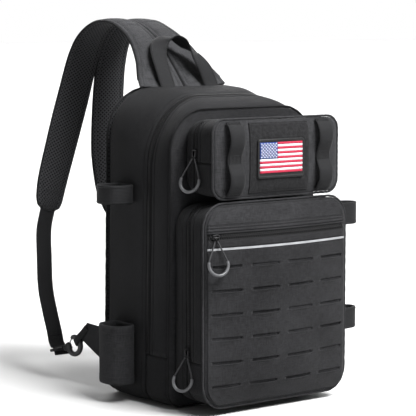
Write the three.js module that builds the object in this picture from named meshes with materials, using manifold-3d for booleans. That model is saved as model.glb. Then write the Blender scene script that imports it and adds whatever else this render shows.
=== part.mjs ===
import * as THREE from "three";
import { mergeVertices } from "three/addons/utils/BufferGeometryUtils.js";
import Module from "manifold-3d";

const wasm = await Module();
wasm.setup();

// Driving dimensions in millimetres. X runs to the right seen from the front, Y to the wearer's back, Z up.
// The origin is on the ground under the middle of the main compartment.
const GAP = 0.3; // clearance between two pieces that are sewn together
const WALL = 2; // nylon on a thin foam backing
const PANEL = 2; // flat panels at the front
const TAPE = 1.4; // zip tape with its coil
const PIPING = 1.6; // radius of the corded seams
const ZIP_HALF = 4; // half the width of a zip
const LAMINATE = 1.6; // slotted outer skin and what is laid on the pocket beside it

const FOOT_STEPS = 3;
const SHOULDER_STEPS = 6;
const PIPING_SIDES = 6;
const CORD_SIDES = 8;

// Main compartment from back to front: half width, height of the top, reach of the shoulder curve across and
// down, radius of the lower corner, how far the side leans in on its way up, height of the underside.
const BODY = [
  { y: 74, half: 124, top: 414, across: 64, down: 66, foot: 24, lean: 5, base: 5 },
  { y: 62, half: 128, top: 419, across: 67, down: 69, foot: 24, lean: 5, base: 0 },
  { y: 20, half: 129, top: 417.5, across: 76, down: 86, foot: 24, lean: 5, base: 0 },
  { y: -22, half: 128, top: 409.5, across: 82, down: 98, foot: 24, lean: 5, base: 0 },
  { y: -50, half: 127, top: 401, across: 64, down: 74, foot: 22, lean: 5, base: 0 },
  { y: -66, half: 124.5, top: 390.5, across: 52, down: 56, foot: 20, lean: 5, base: 4 },
];

// The padded back: how far each ring is set in from the edge and stands out.
const CUSHION = [
  { inset: 0, out: GAP },
  { inset: 0, out: GAP + 2 },
  { inset: 10, out: 8 },
  { inset: 20, out: 10.5 },
];

const BODY_ZIP = -22;
const BODY_SEAM = 68; // height where the zip ends in a cross seam

// Lower pocket and upper pocket, the same columns. Both stand on the flat front of the main compartment.
const POCKET = [
  { y: -68.6, half: 116, top: 268, across: 28, down: 28, foot: 26, lean: 0, base: 15 },
  { y: -84, half: 119, top: 272, across: 30, down: 30, foot: 28, lean: 0, base: 12 },
  { y: -102, half: 120, top: 273, across: 32, down: 30, foot: 29, lean: 0, base: 11.5 },
  { y: -134, half: 119.5, top: 273, across: 30, down: 30, foot: 30, lean: 0, base: 12 },
];
const POCKET_ZIP = -102;
const POCKET_SEAM = 69;
const TOP_POCKET = [
  { y: -68.6, half: 97, top: 374, across: 20, down: 20, foot: 14, lean: 0, base: 290 },
  { y: -82, half: 102, top: 379, across: 22, down: 22, foot: 15, lean: 0, base: 285 },
  { y: -96, half: 103.5, top: 380.5, across: 22, down: 22, foot: 15, lean: 0, base: 282.5 },
  { y: -134, half: 104, top: 380, across: 16, down: 16, foot: 16, lean: 0, base: 281.5 },
];
const TOP_ZIP = -96;
const TOP_SEAM = 326;

// Front faces of the two pockets: outline, the plane of the seam and how far the middle swells out.
const POCKET_FACE = { half: 119.5, bottom: 12, top: 273, corner: 30, plane: -134.3, swell: 14, rows: 8 };
const TOP_FACE = { half: 104, bottom: 281.5, top: 380, corner: 16, plane: -134.3, swell: 7, rows: 3 };

// Slots of the laser-cut skin.
const SLOT_ROWS = 6;
const SLOT_COLUMNS = 4;
const SLOT = { width: 43, height: 3.6, pitchX: 59, pitchZ: 31, lowest: 39.5 };
const STRIP = { from: 215, to: 219.4 }; // reflective strip above the slots
const SLASH = { from: 219.7, to: 239.4 }; // tape of the slash zip

// Centre lines of the two padded straps from the top seam, over the arch and down behind the bag.
const STRAP_THICK = 10;
const STRAP_LEFT = [
  { x: -40, y: 62, z: 419.8, width: 72 },
  { x: -34, y: 87, z: 449, width: 56 },
  { x: -32, y: 113, z: 478, width: 46 },
  { x: -33, y: 139, z: 496, width: 42 },
  { x: -34, y: 168, z: 506, width: 42.5 },
  { x: -36, y: 203, z: 503.5, width: 44 },
  { x: -38.5, y: 232, z: 485, width: 47 },
  { x: -41.2, y: 248, z: 458, width: 51 },
  { x: -52, y: 263, z: 393, width: 52 },
  { x: -74, y: 264, z: 321, width: 49 },
  { x: -90, y: 261, z: 274, width: 46 },
  { x: -97, y: 258, z: 250, width: 41 },
  { x: -99.6, y: 256.4, z: 240.5, width: 34 },
  { x: -101, y: 255.8, z: 234.6, width: 17 },
];
const STRAP_RIGHT = [
  { x: 34, y: 62, z: 419.8, width: 72 },
  { x: 25, y: 87, z: 449, width: 56 },
  { x: 18, y: 115, z: 478, width: 47 },
  { x: 13.5, y: 143, z: 496, width: 43 },
  { x: 12, y: 175, z: 506, width: 43 },
  { x: 11, y: 212, z: 502, width: 44 },
  { x: 9.9, y: 239, z: 478, width: 47 },
  { x: 9.1, y: 252.5, z: 445, width: 49 },
  { x: 8.5, y: 259, z: 399, width: 51 },
  { x: 10, y: 265, z: 317, width: 53 },
  { x: 18, y: 268, z: 262, width: 48 },
  { x: 25, y: 267, z: 236, width: 40 },
  { x: 28.3, y: 266.2, z: 226, width: 34 },
  { x: 30, y: 265.7, z: 220.5, width: 17 },
];

// Webbing below the pads, down to the hook's bar.
const WEB_THICK = 1.6;
const WEB_WIDTH = 25;
const WEB_STEPS = 26;
const WEBBING_LEFT = [
  { x: -101.9, y: 256, z: 232.4 },
  { x: -107, y: 257, z: 208 },
  { x: -113, y: 247.6, z: 168 },
  { x: -118, y: 237, z: 125 },
  { x: -120.5, y: 221.5, z: 91 },
  { x: -121, y: 210, z: 65.5 },
];
const WEBBING_RIGHT = [
  { x: 31.2, y: 265.4, z: 218.2 },
  { x: 44, y: 263, z: 194 },
  { x: 68, y: 254, z: 156 },
  { x: 95, y: 239, z: 118 },
  { x: 115, y: 221.5, z: 91 },
  { x: 121, y: 210, z: 65.5 },
];

// Snap hook: u runs from the webbing to the ring, w up across it. Its bar frame lies flat. Its ring stands
// upright, open above and closed by a wire gate.
const HOOK = { thick: 5, tail: -12, neck: 3, frameHalf: 16.5, neckHalf: 4 };
const RING = { u: 31, halfU: 20, halfW: 15.5, holeU: 10, holeW: 8.5, wire: 2.4 };
const HOOK_AT = { x: 121, y: 188.3, z: 44.6, lift: 16 }; // start of its neck, and how steeply it rises
// The end of the webbing over the hook's bar and down through its frame.
const BAR_TURN = [
  { u: -14.5, w: 12 },
  { u: -12.4, w: 7 },
  { u: -10, w: 4.1 },
  { u: -6.2, w: 2.8 },
  { u: -4.4, w: -2 },
  { u: -3.8, w: -8 },
];
// Webbing tab through the hook's ring: it leaves the ring's middle at an angle, and its layers hold the wing.
const TAB = { width: 10, thick: 1.4, angle: 26, reach: 42 };
const WING = { seam: [88, 38], thick: 2.4, low: { y: 137.8, z: 63.3 }, high: { y: 126.6, z: 89.8 } };

// Centre line of the carrying loop. Its ends lie flat and face the front, and its grip is turned on edge
// against the straps: edge says how far, lead which way the flat ends run, and tilt how steeply the edge rises
// to the front.
const HANDLE = [
  { x: -37, y: 50.8, z: 418.95, edge: 0, lead: 1, tilt: -60, width: 25 },
  { x: -36, y: 63.5, z: 441, edge: 0.03, lead: 1, tilt: -60, width: 25 },
  { x: -32, y: 78, z: 459, edge: 0.22, lead: 1, tilt: -50, width: 25 },
  { x: -25, y: 87.5, z: 472, edge: 0.68, lead: 1, tilt: -38, width: 24 },
  { x: -13, y: 91, z: 481, edge: 1, lead: 1, tilt: -22, width: 23 },
  { x: 0, y: 86, z: 482.5, edge: 1, lead: -1, tilt: 10, width: 23 },
  { x: 11, y: 77, z: 475.5, edge: 0.72, lead: -1, tilt: 38, width: 24 },
  { x: 23, y: 65.5, z: 458.5, edge: 0.25, lead: -1, tilt: 45, width: 25 },
  { x: 33, y: 57, z: 439, edge: 0.03, lead: -1, tilt: 45, width: 25 },
  { x: 38, y: 50.8, z: 418.95, edge: 0, lead: -1, tilt: 45, width: 25 },
];
const HANDLE_THICK = 2.2;

// Webbing sewn down the sides of the upper pocket's face: how far it stands off at each height.
const STRIP_X = 75;
const STRIP_WIDTH = 24;
const STRIP_INNER = STRIP_X - STRIP_WIDTH / 2;
const WEB_STRIP = [
  { z: 378, lift: 0 },
  { z: 372, lift: 3.6 },
  { z: 362, lift: 6.6 },
  { z: 350, lift: 6.2 },
  { z: 340, lift: 2.2 },
  { z: 334, lift: 0 },
  { z: 326, lift: 0 },
  { z: 320, lift: 2.2 },
  { z: 310, lift: 6.2 },
  { z: 299, lift: 6.6 },
  { z: 290, lift: 3.6 },
  { z: 284, lift: 0 },
];

// Zip sliders, and their pulls: half the loop of cord, as distance from its middle line and drop below the
// slider.
const SLIDER = [
  { rise: 0, length: 11, width: 8 },
  { rise: 2.6, length: 11, width: 8 },
  { rise: 4.2, length: 6, width: 3 },
];
const PULL_HALF = [
  { a: 1.6, d: 0 },
  { a: 7.2, d: 12 },
  { a: 12.7, d: 24 },
  { a: 14, d: 29.5 },
  { a: 12.1, d: 36.2 },
  { a: 7, d: 41.2 },
];
const PULL = [
  ...PULL_HALF.map(({ a, d }) => ({ a: -a, d })),
  { a: 0, d: 43 },
  ...PULL_HALF.toReversed(),
];
const PULL_OFF = 2.4; // how far off the cloth the cord starts
const PULL_LEAN = 0.2;
const CORD_RADIUS = 1;
const CORD_STEPS = 20;
const GRIP_FROM = 0.26; // share of the cord's length above the grip on each side
const GRIP_RADIUS = 2.2;
const GRIP_BORE = 1.45;

const NYLON = { color: 0x232427, roughness: 0.85, metalness: 0 };
const MESH_CLOTH = { color: 0x1b1c1e, roughness: 0.95, metalness: 0 };
const WEBBING = { color: 0x1f2022, roughness: 0.8, metalness: 0 };
const ZIP_CLOTH = { color: 0x141516, roughness: 0.7, metalness: 0 };
const VELVET = { color: 0x18181a, roughness: 1, metalness: 0 };
const REFLECTIVE = { color: 0x8d9094, roughness: 0.45, metalness: 0 };
const PLASTIC = { color: 0x121314, roughness: 0.5, metalness: 0 };
const CORD = { color: 0x17181a, roughness: 0.9, metalness: 0 };
const METAL = { color: 0x2a2b2d, roughness: 0.4, metalness: 0.8 };
const EMBROIDERY = { color: 0xb04048, roughness: 0.9, metalness: 0 };

const group = new THREE.Group();

function point(x, y, z) {
  return new THREE.Vector3(x, y, z);
}

function add(name, geometry, look) {
  const mesh = new THREE.Mesh(geometry, new THREE.MeshStandardMaterial(look));
  mesh.name = name;
  group.add(mesh);
}

// Turns every triangle round when the skin encloses a negative volume.
function faceOut(positions, index) {
  let volume = 0;
  const at = (i) => point(positions[3 * i], positions[3 * i + 1], positions[3 * i + 2]);
  for (let i = 0; i < index.length; i += 3) {
    volume += at(index[i]).dot(at(index[i + 1]).cross(at(index[i + 2])));
  }
  if (volume < 0) {
    index.reverse();
  }
  const geometry = new THREE.BufferGeometry();
  geometry.setAttribute("position", new THREE.Float32BufferAttribute(positions, 3));
  geometry.setIndex(index);
  return geometry;
}

// Triangles that close a ring of points, as index triples that run the same way round as the ring.
function capTriangles(ring) {
  const normal = point(0, 0, 0);
  ring.forEach((p, i) => normal.add(p.clone().cross(ring[(i + 1) % ring.length])));
  normal.normalize();
  const across = ring[1].clone().sub(ring[0]).projectOnPlane(normal).normalize();
  const up = normal.clone().cross(across);
  const flat = ring.map((p) => new THREE.Vector2(p.dot(across), p.dot(up)));
  return THREE.ShapeUtils.triangulateShape(flat, []).map(([a, b, c]) => {
    const turn = flat[b].clone().sub(flat[a]).cross(flat[c].clone().sub(flat[a]));
    return turn < 0 ? [a, c, b] : [a, b, c];
  });
}

// A skin over rings of points that follow one another, capped at both ends or joined up into a loop. The points
// from the place named turned onwards have their quads split along the other diagonal.
function loft(rings, joined = false, turned = Infinity) {
  const count = rings[0].length;
  const positions = rings.flat().flatMap((p) => [p.x, p.y, p.z]);
  const index = [];
  const spans = joined ? rings.length : rings.length - 1;
  for (let i = 0; i < spans; i += 1) {
    const a = i * count;
    const b = ((i + 1) % rings.length) * count;
    for (let k = 0; k < count; k += 1) {
      const n = (k + 1) % count;
      if (k < turned) {
        index.push(a + k, a + n, b + k, a + n, b + n, b + k);
      } else {
        index.push(a + k, a + n, b + n, a + k, b + n, b + k);
      }
    }
  }
  if (!joined) {
    const last = (rings.length - 1) * count;
    capTriangles(rings[0]).forEach(([a, b, c]) => index.push(a, c, b));
    capTriangles(rings.at(-1)).forEach(([a, b, c]) => index.push(last + a, last + b, last + c));
  }
  return faceOut(positions, index);
}

// The row of a table at any depth, worked out between the two rows that it lies between.
function section(table, y) {
  const held = THREE.MathUtils.clamp(y, table.at(-1).y, table[0].y);
  const after = Math.max(1, table.findIndex((row) => row.y <= held));
  const [a, b] = [table[after - 1], table[after]];
  const share = (held - a.y) / (b.y - a.y);
  const mix = (key) => [key, a[key] + (b[key] - a[key]) * share];
  return Object.fromEntries(Object.keys(a).map(mix));
}

function arc(x, z, across, down, from, to, steps) {
  return Array.from({ length: steps + 1 }, (_, i) => {
    const angle = THREE.MathUtils.degToRad(from + ((to - from) * i) / steps);
    return new THREE.Vector2(x + across * Math.cos(angle), z + down * Math.sin(angle));
  });
}

// Half width of a section at one height, between foot and shoulder.
function sideAt(s, z) {
  const low = s.base + s.foot;
  return s.half - (s.lean * (z - low)) / (s.top - s.down - low);
}

// The outline of a section, set in by a wall: the whole ring, the arch above a seam or the base below it.
function outline(s, inset, part, seam) {
  const half = s.half - inset;
  const base = s.base + inset;
  const foot = s.foot - inset;
  const across = s.across - inset;
  const down = s.down - inset;
  const shoulder = s.top - s.down;
  const bottom = arc(half - foot, base + foot, foot, foot, -90, 0, FOOT_STEPS);
  const top = arc(half - s.lean - across, shoulder, across, down, 0, 90, SHOULDER_STEPS);
  const side = (z) => new THREE.Vector2(sideAt(s, z) - inset, z);
  const right = {
    ring: () => [...bottom, side((seam + shoulder) / 2), ...top],
    arch: () => [side(seam + GAP / 2), side((seam + shoulder) / 2), ...top],
    base: () => [side(seam - GAP / 2), ...bottom.reverse()],
  }[part]();
  const left = right.map((p) => new THREE.Vector2(-p.x, p.y)).reverse();
  return [...right, ...left];
}

// A sewn wall that follows the outline of a section from depth to depth.
function wallBand(table, depths, thick, part, seam) {
  const outer = depths.map((y) => outline(section(table, y), 0, part, seam));
  const inner = depths.map((y) => outline(section(table, y), thick, part, seam));
  const rings = outer[0].map((_, i) => [
    ...depths.map((y, j) => point(outer[j][i].x, y, outer[j][i].y)),
    ...depths.map((y, j) => point(inner[j][i].x, y, inner[j][i].y)).reverse(),
  ]);
  return loft(rings, part === "ring");
}

// The four sewn walls of a zipped compartment: a whole ring at the back, the zip and the band before it over
// the arch, and a plain base below the cross seam.
function zippedWalls(name, table, zip, seam) {
  const back = table[0].y;
  const front = table.at(-1).y;
  const between = (from, to) => {
    const inside = table.map((row) => row.y).filter((y) => y < from && y > to);
    return [from, ...inside, to];
  };
  const rear = between(back, zip + ZIP_HALF);
  const tape = [zip + ZIP_HALF - GAP, zip - ZIP_HALF + GAP];
  const fore = between(zip - ZIP_HALF, front);
  const low = between(zip + ZIP_HALF - GAP, front);
  add(`${name}_gusset_rear`, wallBand(table, rear, WALL, "ring", seam), NYLON);
  add(`${name}_zip`, wallBand(table, tape, TAPE, "arch", seam), ZIP_CLOTH);
  add(`${name}_gusset_front`, wallBand(table, fore, WALL, "arch", seam), NYLON);
  add(`${name}_gusset_base`, wallBand(table, low, WALL, "base", seam), NYLON);
}

// A corded seam that runs round a section just outside it.
function piping(table, y, seam) {
  const loop = outline(section(table, y), -PIPING - GAP, "ring", seam).map((p) => point(p.x, y, p.y));
  const path = loop.map((at, i) => ({
    at,
    along: loop[(i + 1) % loop.length].clone().sub(loop.at(i - 1)).normalize(),
    across: point(0, 1, 0),
  }));
  return sweep(path, () => roundProfile(PIPING, PIPING_SIDES), { joined: true });
}

// A flat panel with the outline of a section.
function flatPanel(table, row, from, to) {
  const edge = outline(table.at(row), 0, "ring", BODY_SEAM);
  return loft([from, to].map((y) => edge.map((p) => point(p.x, y, p.y))));
}

// The padded back, flat inside and swelling towards the wearer.
function cushion(table, row, from, rise) {
  return loft(
    rise.map(({ inset, out }) => {
      const edge = outline(table.at(row), inset, "ring", BODY_SEAM);
      return edge.map((p) => point(p.x, from + out, p.y));
    }),
  );
}

// Half width of a pocket's face at one height, inside its rounded corners.
function faceHalf(face, z) {
  const beyond = Math.max(face.bottom + face.corner - z, z - face.top + face.corner, 0);
  return face.half - face.corner + Math.sqrt(face.corner ** 2 - beyond ** 2);
}

// Depth of a pocket's face, swelling towards the middle.
function faceDepth(face, x, z) {
  const middle = (face.top + face.bottom) / 2;
  const across = x / face.half;
  const up = (z - middle) / (face.top - middle);
  return face.plane - face.swell * (1 - across ** 2) * (1 - up ** 4);
}

// Heights that every sheet on a face shares, closer together where its corners are round.
function faceHeights(face) {
  const bends = [0, 0.14, 0.45, 1].flatMap((share) => [
    face.bottom + share * face.corner,
    face.top - share * face.corner,
  ]);
  const tall = face.top - face.bottom - 2 * face.corner;
  const even = Array.from({ length: face.rows - 1 }, (_, i) => {
    return face.bottom + face.corner + (tall * (i + 1)) / face.rows;
  });
  return [...bends, ...even].sort((a, b) => a - b);
}

// A sheet that lies on a pocket's face between two heights.
function faceSheet(face, { from, to, inset = 0, offset = 0, thick, columns = 8, limit = 1e3 }) {
  const inside = faceHeights(face).filter((z) => z > from + 1 && z < to - 1);
  return loft(
    [from, ...inside, to].map((z) => {
      const half = Math.min(faceHalf(face, z) - inset, limit);
      const xs = Array.from({ length: columns + 1 }, (_, i) => half * ((2 * i) / columns - 1));
      const at = (lift) => xs.map((x) => point(x, faceDepth(face, x, z) - offset - lift, z));
      return [...at(0), ...at(thick).reverse()];
    }),
    false,
    columns,
  );
}

function asSolid(geometry) {
  const bare = geometry.clone();
  bare.deleteAttribute("normal");
  bare.deleteAttribute("uv");
  const merged = mergeVertices(bare, 1e-4);
  return new wasm.Manifold(
    new wasm.Mesh({
      numProp: 3,
      vertProperties: merged.attributes.position.array,
      triVerts: new Uint32Array(merged.index.array),
    }),
  );
}

function asGeometry(solid) {
  const mesh = solid.getMesh();
  const geometry = new THREE.BufferGeometry();
  geometry.setAttribute("position", new THREE.Float32BufferAttribute(mesh.vertProperties, 3));
  geometry.setIndex(Array.from(mesh.triVerts));
  return geometry;
}

// The laser-cut skin: a sheet with rows of slots right through it.
function slottedSheet(face, sheet) {
  let skin = asSolid(faceSheet(face, sheet));
  for (let row = 0; row < SLOT_ROWS; row += 1) {
    for (let column = 0; column < SLOT_COLUMNS; column += 1) {
      const x = (column - (SLOT_COLUMNS - 1) / 2) * SLOT.pitchX;
      const z = SLOT.lowest + row * SLOT.pitchZ;
      const cutter = new THREE.BoxGeometry(SLOT.width, 30, SLOT.height);
      cutter.translate(x, faceDepth(face, x, z), z);
      skin = skin.subtract(asSolid(cutter));
    }
  }
  return asGeometry(skin);
}

// Smooth stations along a table of centre points, every other column carried along.
function stations(table, count) {
  const centres = table.map((row) => point(row.x, row.y, row.z));
  const curve = new THREE.CatmullRomCurve3(centres, false, "centripetal");
  const keys = Object.keys(table[0]).filter((key) => !["x", "y", "z"].includes(key));
  return Array.from({ length: count + 1 }, (_, i) => {
    const t = i / count;
    const place = t * (table.length - 1);
    const low = Math.min(Math.floor(place), table.length - 2);
    const mix = (key) => [key, table[low][key] + (table[low + 1][key] - table[low][key]) * (place - low)];
    return { at: curve.getPoint(t), along: curve.getTangent(t), ...Object.fromEntries(keys.map(mix)) };
  });
}

// A flat band swept along stations. Its section is a list of points across it and through its thickness.
function sweep(path, profile, { joined = false, lead = point(1, 0, 0) } = {}) {
  return loft(
    path.map((s) => {
      const across = (s.across ?? lead).clone().projectOnPlane(s.along).normalize();
      across.applyAxisAngle(s.along, THREE.MathUtils.degToRad(s.turn ?? 0));
      const out = across.clone().cross(s.along);
      return profile(s).map(([a, b]) => s.at.clone().addScaledVector(across, a).addScaledVector(out, b));
    }),
    joined,
  );
}

function flat(width, thick) {
  return [
    [-width / 2, -thick / 2],
    [width / 2, -thick / 2],
    [width / 2, thick / 2],
    [-width / 2, thick / 2],
  ];
}

function roundProfile(radius, sides) {
  return arc(0, 0, radius, radius, 0, 360, sides).slice(0, -1).map((p) => [p.x, p.y]);
}

// A padded section: full thickness over the middle, thinner at the bound edges.
function padded(width, thick) {
  const side = width / 2;
  const shoulder = side - 6;
  const edge = thick / 5;
  const belly = thick / 2;
  const lower = [[-side, -edge], [-shoulder, -belly], [shoulder, -belly], [side, -edge]];
  const upper = lower.map(([a, b]) => [-a, -b]);
  return [...lower, ...upper];
}

function strap(table) {
  const path = stations(table, 26);
  path[0].along = point(0, 0, 1);
  return sweep(path, (s) => padded(s.width, STRAP_THICK));
}

// A closed loop of webbing seen from above: an oval held flat against a wall at its inner side.
function bandLoop({ x, y, reach, halfY, from, to, thick }) {
  const side = Math.sign(x);
  const inner = [
    { out: thick / 2, across: -0.72 },
    { out: thick / 2, across: 0 },
    { out: thick / 2, across: 0.72 },
    { out: 0.16 * reach, across: 0.96 },
    { out: 0.5 * reach, across: 1 },
    { out: 0.83 * reach, across: 0.8 },
    { out: reach - thick / 2, across: 0.3 },
    { out: reach - thick / 2, across: -0.3 },
    { out: 0.83 * reach, across: -0.8 },
    { out: 0.5 * reach, across: -1 },
    { out: 0.16 * reach, across: -0.96 },
  ];
  const middle = (from + to) / 2;
  const path = inner.map((row) => point(x + side * row.out, y + row.across * halfY, middle));
  const count = path.length;
  const ring = path.map((at, i) => ({
    at,
    along: path[(i + 1) % count].clone().sub(path[(i + count - 1) % count]).normalize(),
    across: point(0, 0, 1),
  }));
  return sweep(ring, () => flat(to - from, thick), { joined: true });
}

// The largest half width of a wall behind a rectangle on its side.
function sideClear(table, ys, zs) {
  return Math.max(...ys.flatMap((y) => zs.map((z) => sideAt(section(table, y), z))));
}

// The route of a pull's cord from the slider, round its grip and back to the slider, leaning out as it hangs.
function pullRoute({ at, across, out, drop }) {
  const side = point(...across).normalize();
  const lean = point(...out).normalize();
  const place = ({ a, d }) =>
    at
      .clone()
      .addScaledVector(side, a)
      .addScaledVector(lean, PULL_OFF + PULL_LEAN * d)
      .add(point(0, 0, -drop - GAP - d));
  return new THREE.CatmullRomCurve3(PULL.map(place), false, "centripetal");
}

// A round cord along a curve, or a sleeve for it when it has a bore.
function tube(curve, steps, radius, bore) {
  const rim = (r) => arc(0, 0, r, r, 0, 360, CORD_SIDES).slice(0, -1);
  const shape = new THREE.Shape(rim(radius));
  if (bore) {
    shape.holes.push(new THREE.Path(rim(bore)));
  }
  return new THREE.ExtrudeGeometry(shape, { steps, extrudePath: curve, bevelEnabled: false });
}

// The moulded grip: a sleeve over the middle of the cord, bent with it.
function pullGrip(route) {
  const first = Math.round(CORD_STEPS * GRIP_FROM);
  const bend = route.getSpacedPoints(CORD_STEPS).slice(first, CORD_STEPS - first + 1);
  const curve = new THREE.CatmullRomCurve3(bend, false, "centripetal");
  return tube(curve, bend.length - 1, GRIP_RADIUS, GRIP_BORE);
}

// A zip slider with its bail, a small tapered block on the zip.
function slider({ at, out, along }) {
  const n = point(...out).normalize();
  const u = point(...along).normalize();
  const w = n.clone().cross(u);
  const rings = SLIDER.map(({ rise, length, width }) =>
    [[-1, -1], [1, -1], [1, 1], [-1, 1]].map(([a, b]) =>
      at
        .clone()
        .addScaledVector(n, GAP + rise)
        .addScaledVector(u, (a * length) / 2)
        .addScaledVector(w, (b * width) / 2),
    ),
  );
  return loft(rings);
}

// Places a flat shape drawn in (u, w) upright beside the lower corner of the bag, u rising towards the bag.
function hookFrame(side) {
  const lift = THREE.MathUtils.degToRad(HOOK_AT.lift);
  const u = point(0, -Math.cos(lift), Math.sin(lift));
  const w = point(0, Math.sin(lift), Math.cos(lift));
  const n = u.clone().cross(w);
  return new THREE.Matrix4().makeBasis(u, w, n).setPosition(side * HOOK_AT.x, HOOK_AT.y, HOOK_AT.z);
}

function snapHook(side) {
  const slab = (from, to, halfW, halfN) => {
    const box = new THREE.BoxGeometry(to - from, 2 * halfW, 2 * halfN);
    box.translate((from + to) / 2, 0, 0);
    return asSolid(box);
  };
  const half = HOOK.thick / 2;
  const prism = (rim, depth) => {
    const plate = new THREE.ExtrudeGeometry(new THREE.Shape(rim), { depth, bevelEnabled: false });
    plate.translate(0, 0, -depth / 2);
    return asSolid(plate);
  };
  const round = (shareU, shareW, from, to, sides) => arc(RING.u, 0, shareU, shareW, from, to, sides);
  const oval = (halfU, halfW, sides) => round(halfU, halfW, 0, 360, sides).slice(0, -1);
  const mouth = [new THREE.Vector2(RING.u, 0), ...round(2 * RING.halfU, 2 * RING.halfW, 114, 158, 1)];
  const [tip, hinge] = round((RING.halfU + RING.holeU) / 2, (RING.halfW + RING.holeW) / 2, 104, 166, 1);
  const wire = new THREE.BoxGeometry(tip.distanceTo(hinge), RING.wire, RING.wire);
  wire.rotateZ(Math.atan2(tip.y - hinge.y, tip.x - hinge.x));
  wire.translate((tip.x + hinge.x) / 2, (tip.y + hinge.y) / 2, 0);
  const ring = prism(oval(RING.halfU, RING.halfW, 26), HOOK.thick)
    .subtract(prism(oval(RING.holeU, RING.holeW, 20), 2 * HOOK.thick))
    .subtract(prism(mouth, 2 * HOOK.thick))
    .add(asSolid(wire));
  const frame = slab(HOOK.tail, HOOK.neck, half, HOOK.frameHalf);
  const window = slab(HOOK.tail + 4, HOOK.neck - 4, HOOK.thick, WEB_WIDTH / 2 + 0.8);
  const neck = slab(HOOK.neck - 1, RING.u - RING.halfU + 4, HOOK.neckHalf - 0.5, HOOK.neckHalf);
  return asGeometry(frame.subtract(window).add(neck).add(ring)).applyMatrix4(hookFrame(side));
}

// The webbing's whole run: its hanging length and the turn through the hook's frame.
function strapWebbing(table, side) {
  const turn = BAR_TURN.map(({ u, w }) => point(u, w, 0).applyMatrix4(hookFrame(side)));
  const route = [...table, ...turn.map(({ x, y, z }) => ({ x, y, z }))];
  return sweep(stations(route, WEB_STEPS), () => flat(WEB_WIDTH, WEB_THICK));
}

// Webbing tab that holds the hook: a band through its ring, its two ends laid on both faces of the wing.
function anchorTab(side) {
  const clear = HOOK.thick / 2 + GAP + TAB.thick / 2;
  const onWing = WING.thick / 2 + GAP + TAB.thick / 2;
  const half = [
    { t: TAB.reach, n: onWing },
    { t: 30, n: onWing },
    { t: 20, n: clear },
    { t: 8, n: clear },
    { t: 6.6, n: 0.8 * clear },
    { t: 6, n: 0.4 * clear },
  ];
  const rows = [...half, { t: 5.9, n: 0 }, ...half.map(({ t, n }) => ({ t, n: -n })).reverse()];
  const frame = hookFrame(side);
  const turn = THREE.MathUtils.degToRad(TAB.angle);
  const across = point(-Math.sin(turn), Math.cos(turn), 0).transformDirection(frame);
  const place = ({ t, n }) => point(RING.u + t * Math.cos(turn), t * Math.sin(turn), n);
  const path = rows.map((row) => place(row).applyMatrix4(frame));
  const band = path.map((at, i) => ({
    at,
    along: path[Math.min(i + 1, path.length - 1)].clone().sub(path[Math.max(i - 1, 0)]).normalize(),
    across,
  }));
  return sweep(band, () => flat(TAB.width, TAB.thick));
}

// Wing sewn into the rear seam that carries the tab.
function anchorWing(side) {
  const rim = [
    ...WING.seam.map((z) => point(side * HOOK_AT.x, 79.4, z)),
    ...[WING.low, WING.high].map(({ y, z }) => point(side * HOOK_AT.x, y, z)),
  ];
  return loft([-WING.thick / 2, WING.thick / 2].map((dx) => rim.map((p) => p.clone().add(point(dx, 0, 0)))));
}

// The carrying loop, flat at its ends and on edge over its grip.
function grabHandle() {
  const path = stations(HANDLE, 26);
  path[0].along = point(0, 0, 1);
  path.at(-1).along = point(0, 0, -1);
  path.forEach((s) => {
    const tilt = THREE.MathUtils.degToRad(s.tilt);
    s.across = point(Math.sign(s.lead), 0, 0).lerp(point(0, -Math.cos(tilt), Math.sin(tilt)), s.edge);
  });
  return sweep(path, (s) => flat(s.width, HANDLE_THICK));
}

// Webbing sewn down the upper pocket, standing off it in two loops with a bar tack between them.
function webStrip(x) {
  const table = WEB_STRIP.map(({ z, lift }) => {
    return { x, y: faceDepth(TOP_FACE, STRIP_INNER, z) - PANEL - GAP - WEB_THICK - lift, z };
  });
  return sweep(stations(table, 22), () => flat(STRIP_WIDTH, WEB_THICK));
}

zippedWalls("main", BODY, BODY_ZIP, BODY_SEAM);
add("main_front", flatPanel(BODY, -1, BODY.at(-1).y - GAP, BODY.at(-1).y - GAP - PANEL), NYLON);
add("main_piping", piping(BODY, BODY.at(-1).y - 1.6, BODY_SEAM), NYLON);
add("back_panel", cushion(BODY, 0, BODY[0].y, CUSHION), MESH_CLOTH);
add("back_piping", piping(BODY, BODY[0].y + 1.6, BODY_SEAM), NYLON);

zippedWalls("pocket", POCKET, POCKET_ZIP, POCKET_SEAM);
const ON_SKIN = { inset: 3, offset: PANEL + GAP, thick: LAMINATE };
add("pocket_front", faceSheet(POCKET_FACE, { from: 12, to: 273, offset: 0, thick: PANEL }), NYLON);
add("slotted_panel", slottedSheet(POCKET_FACE, { ...ON_SKIN, from: 15, to: STRIP.from - GAP }), NYLON);
add("reflective_strip", faceSheet(POCKET_FACE, { ...ON_SKIN, ...STRIP }), REFLECTIVE);
add("slash_zip", faceSheet(POCKET_FACE, { ...ON_SKIN, ...SLASH }), ZIP_CLOTH);
add("slash_cover", faceSheet(POCKET_FACE, { ...ON_SKIN, from: SLASH.to + GAP, to: 270 }), NYLON);
add("pocket_piping", piping(POCKET, POCKET.at(-1).y - 1.6, POCKET_SEAM), NYLON);

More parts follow.
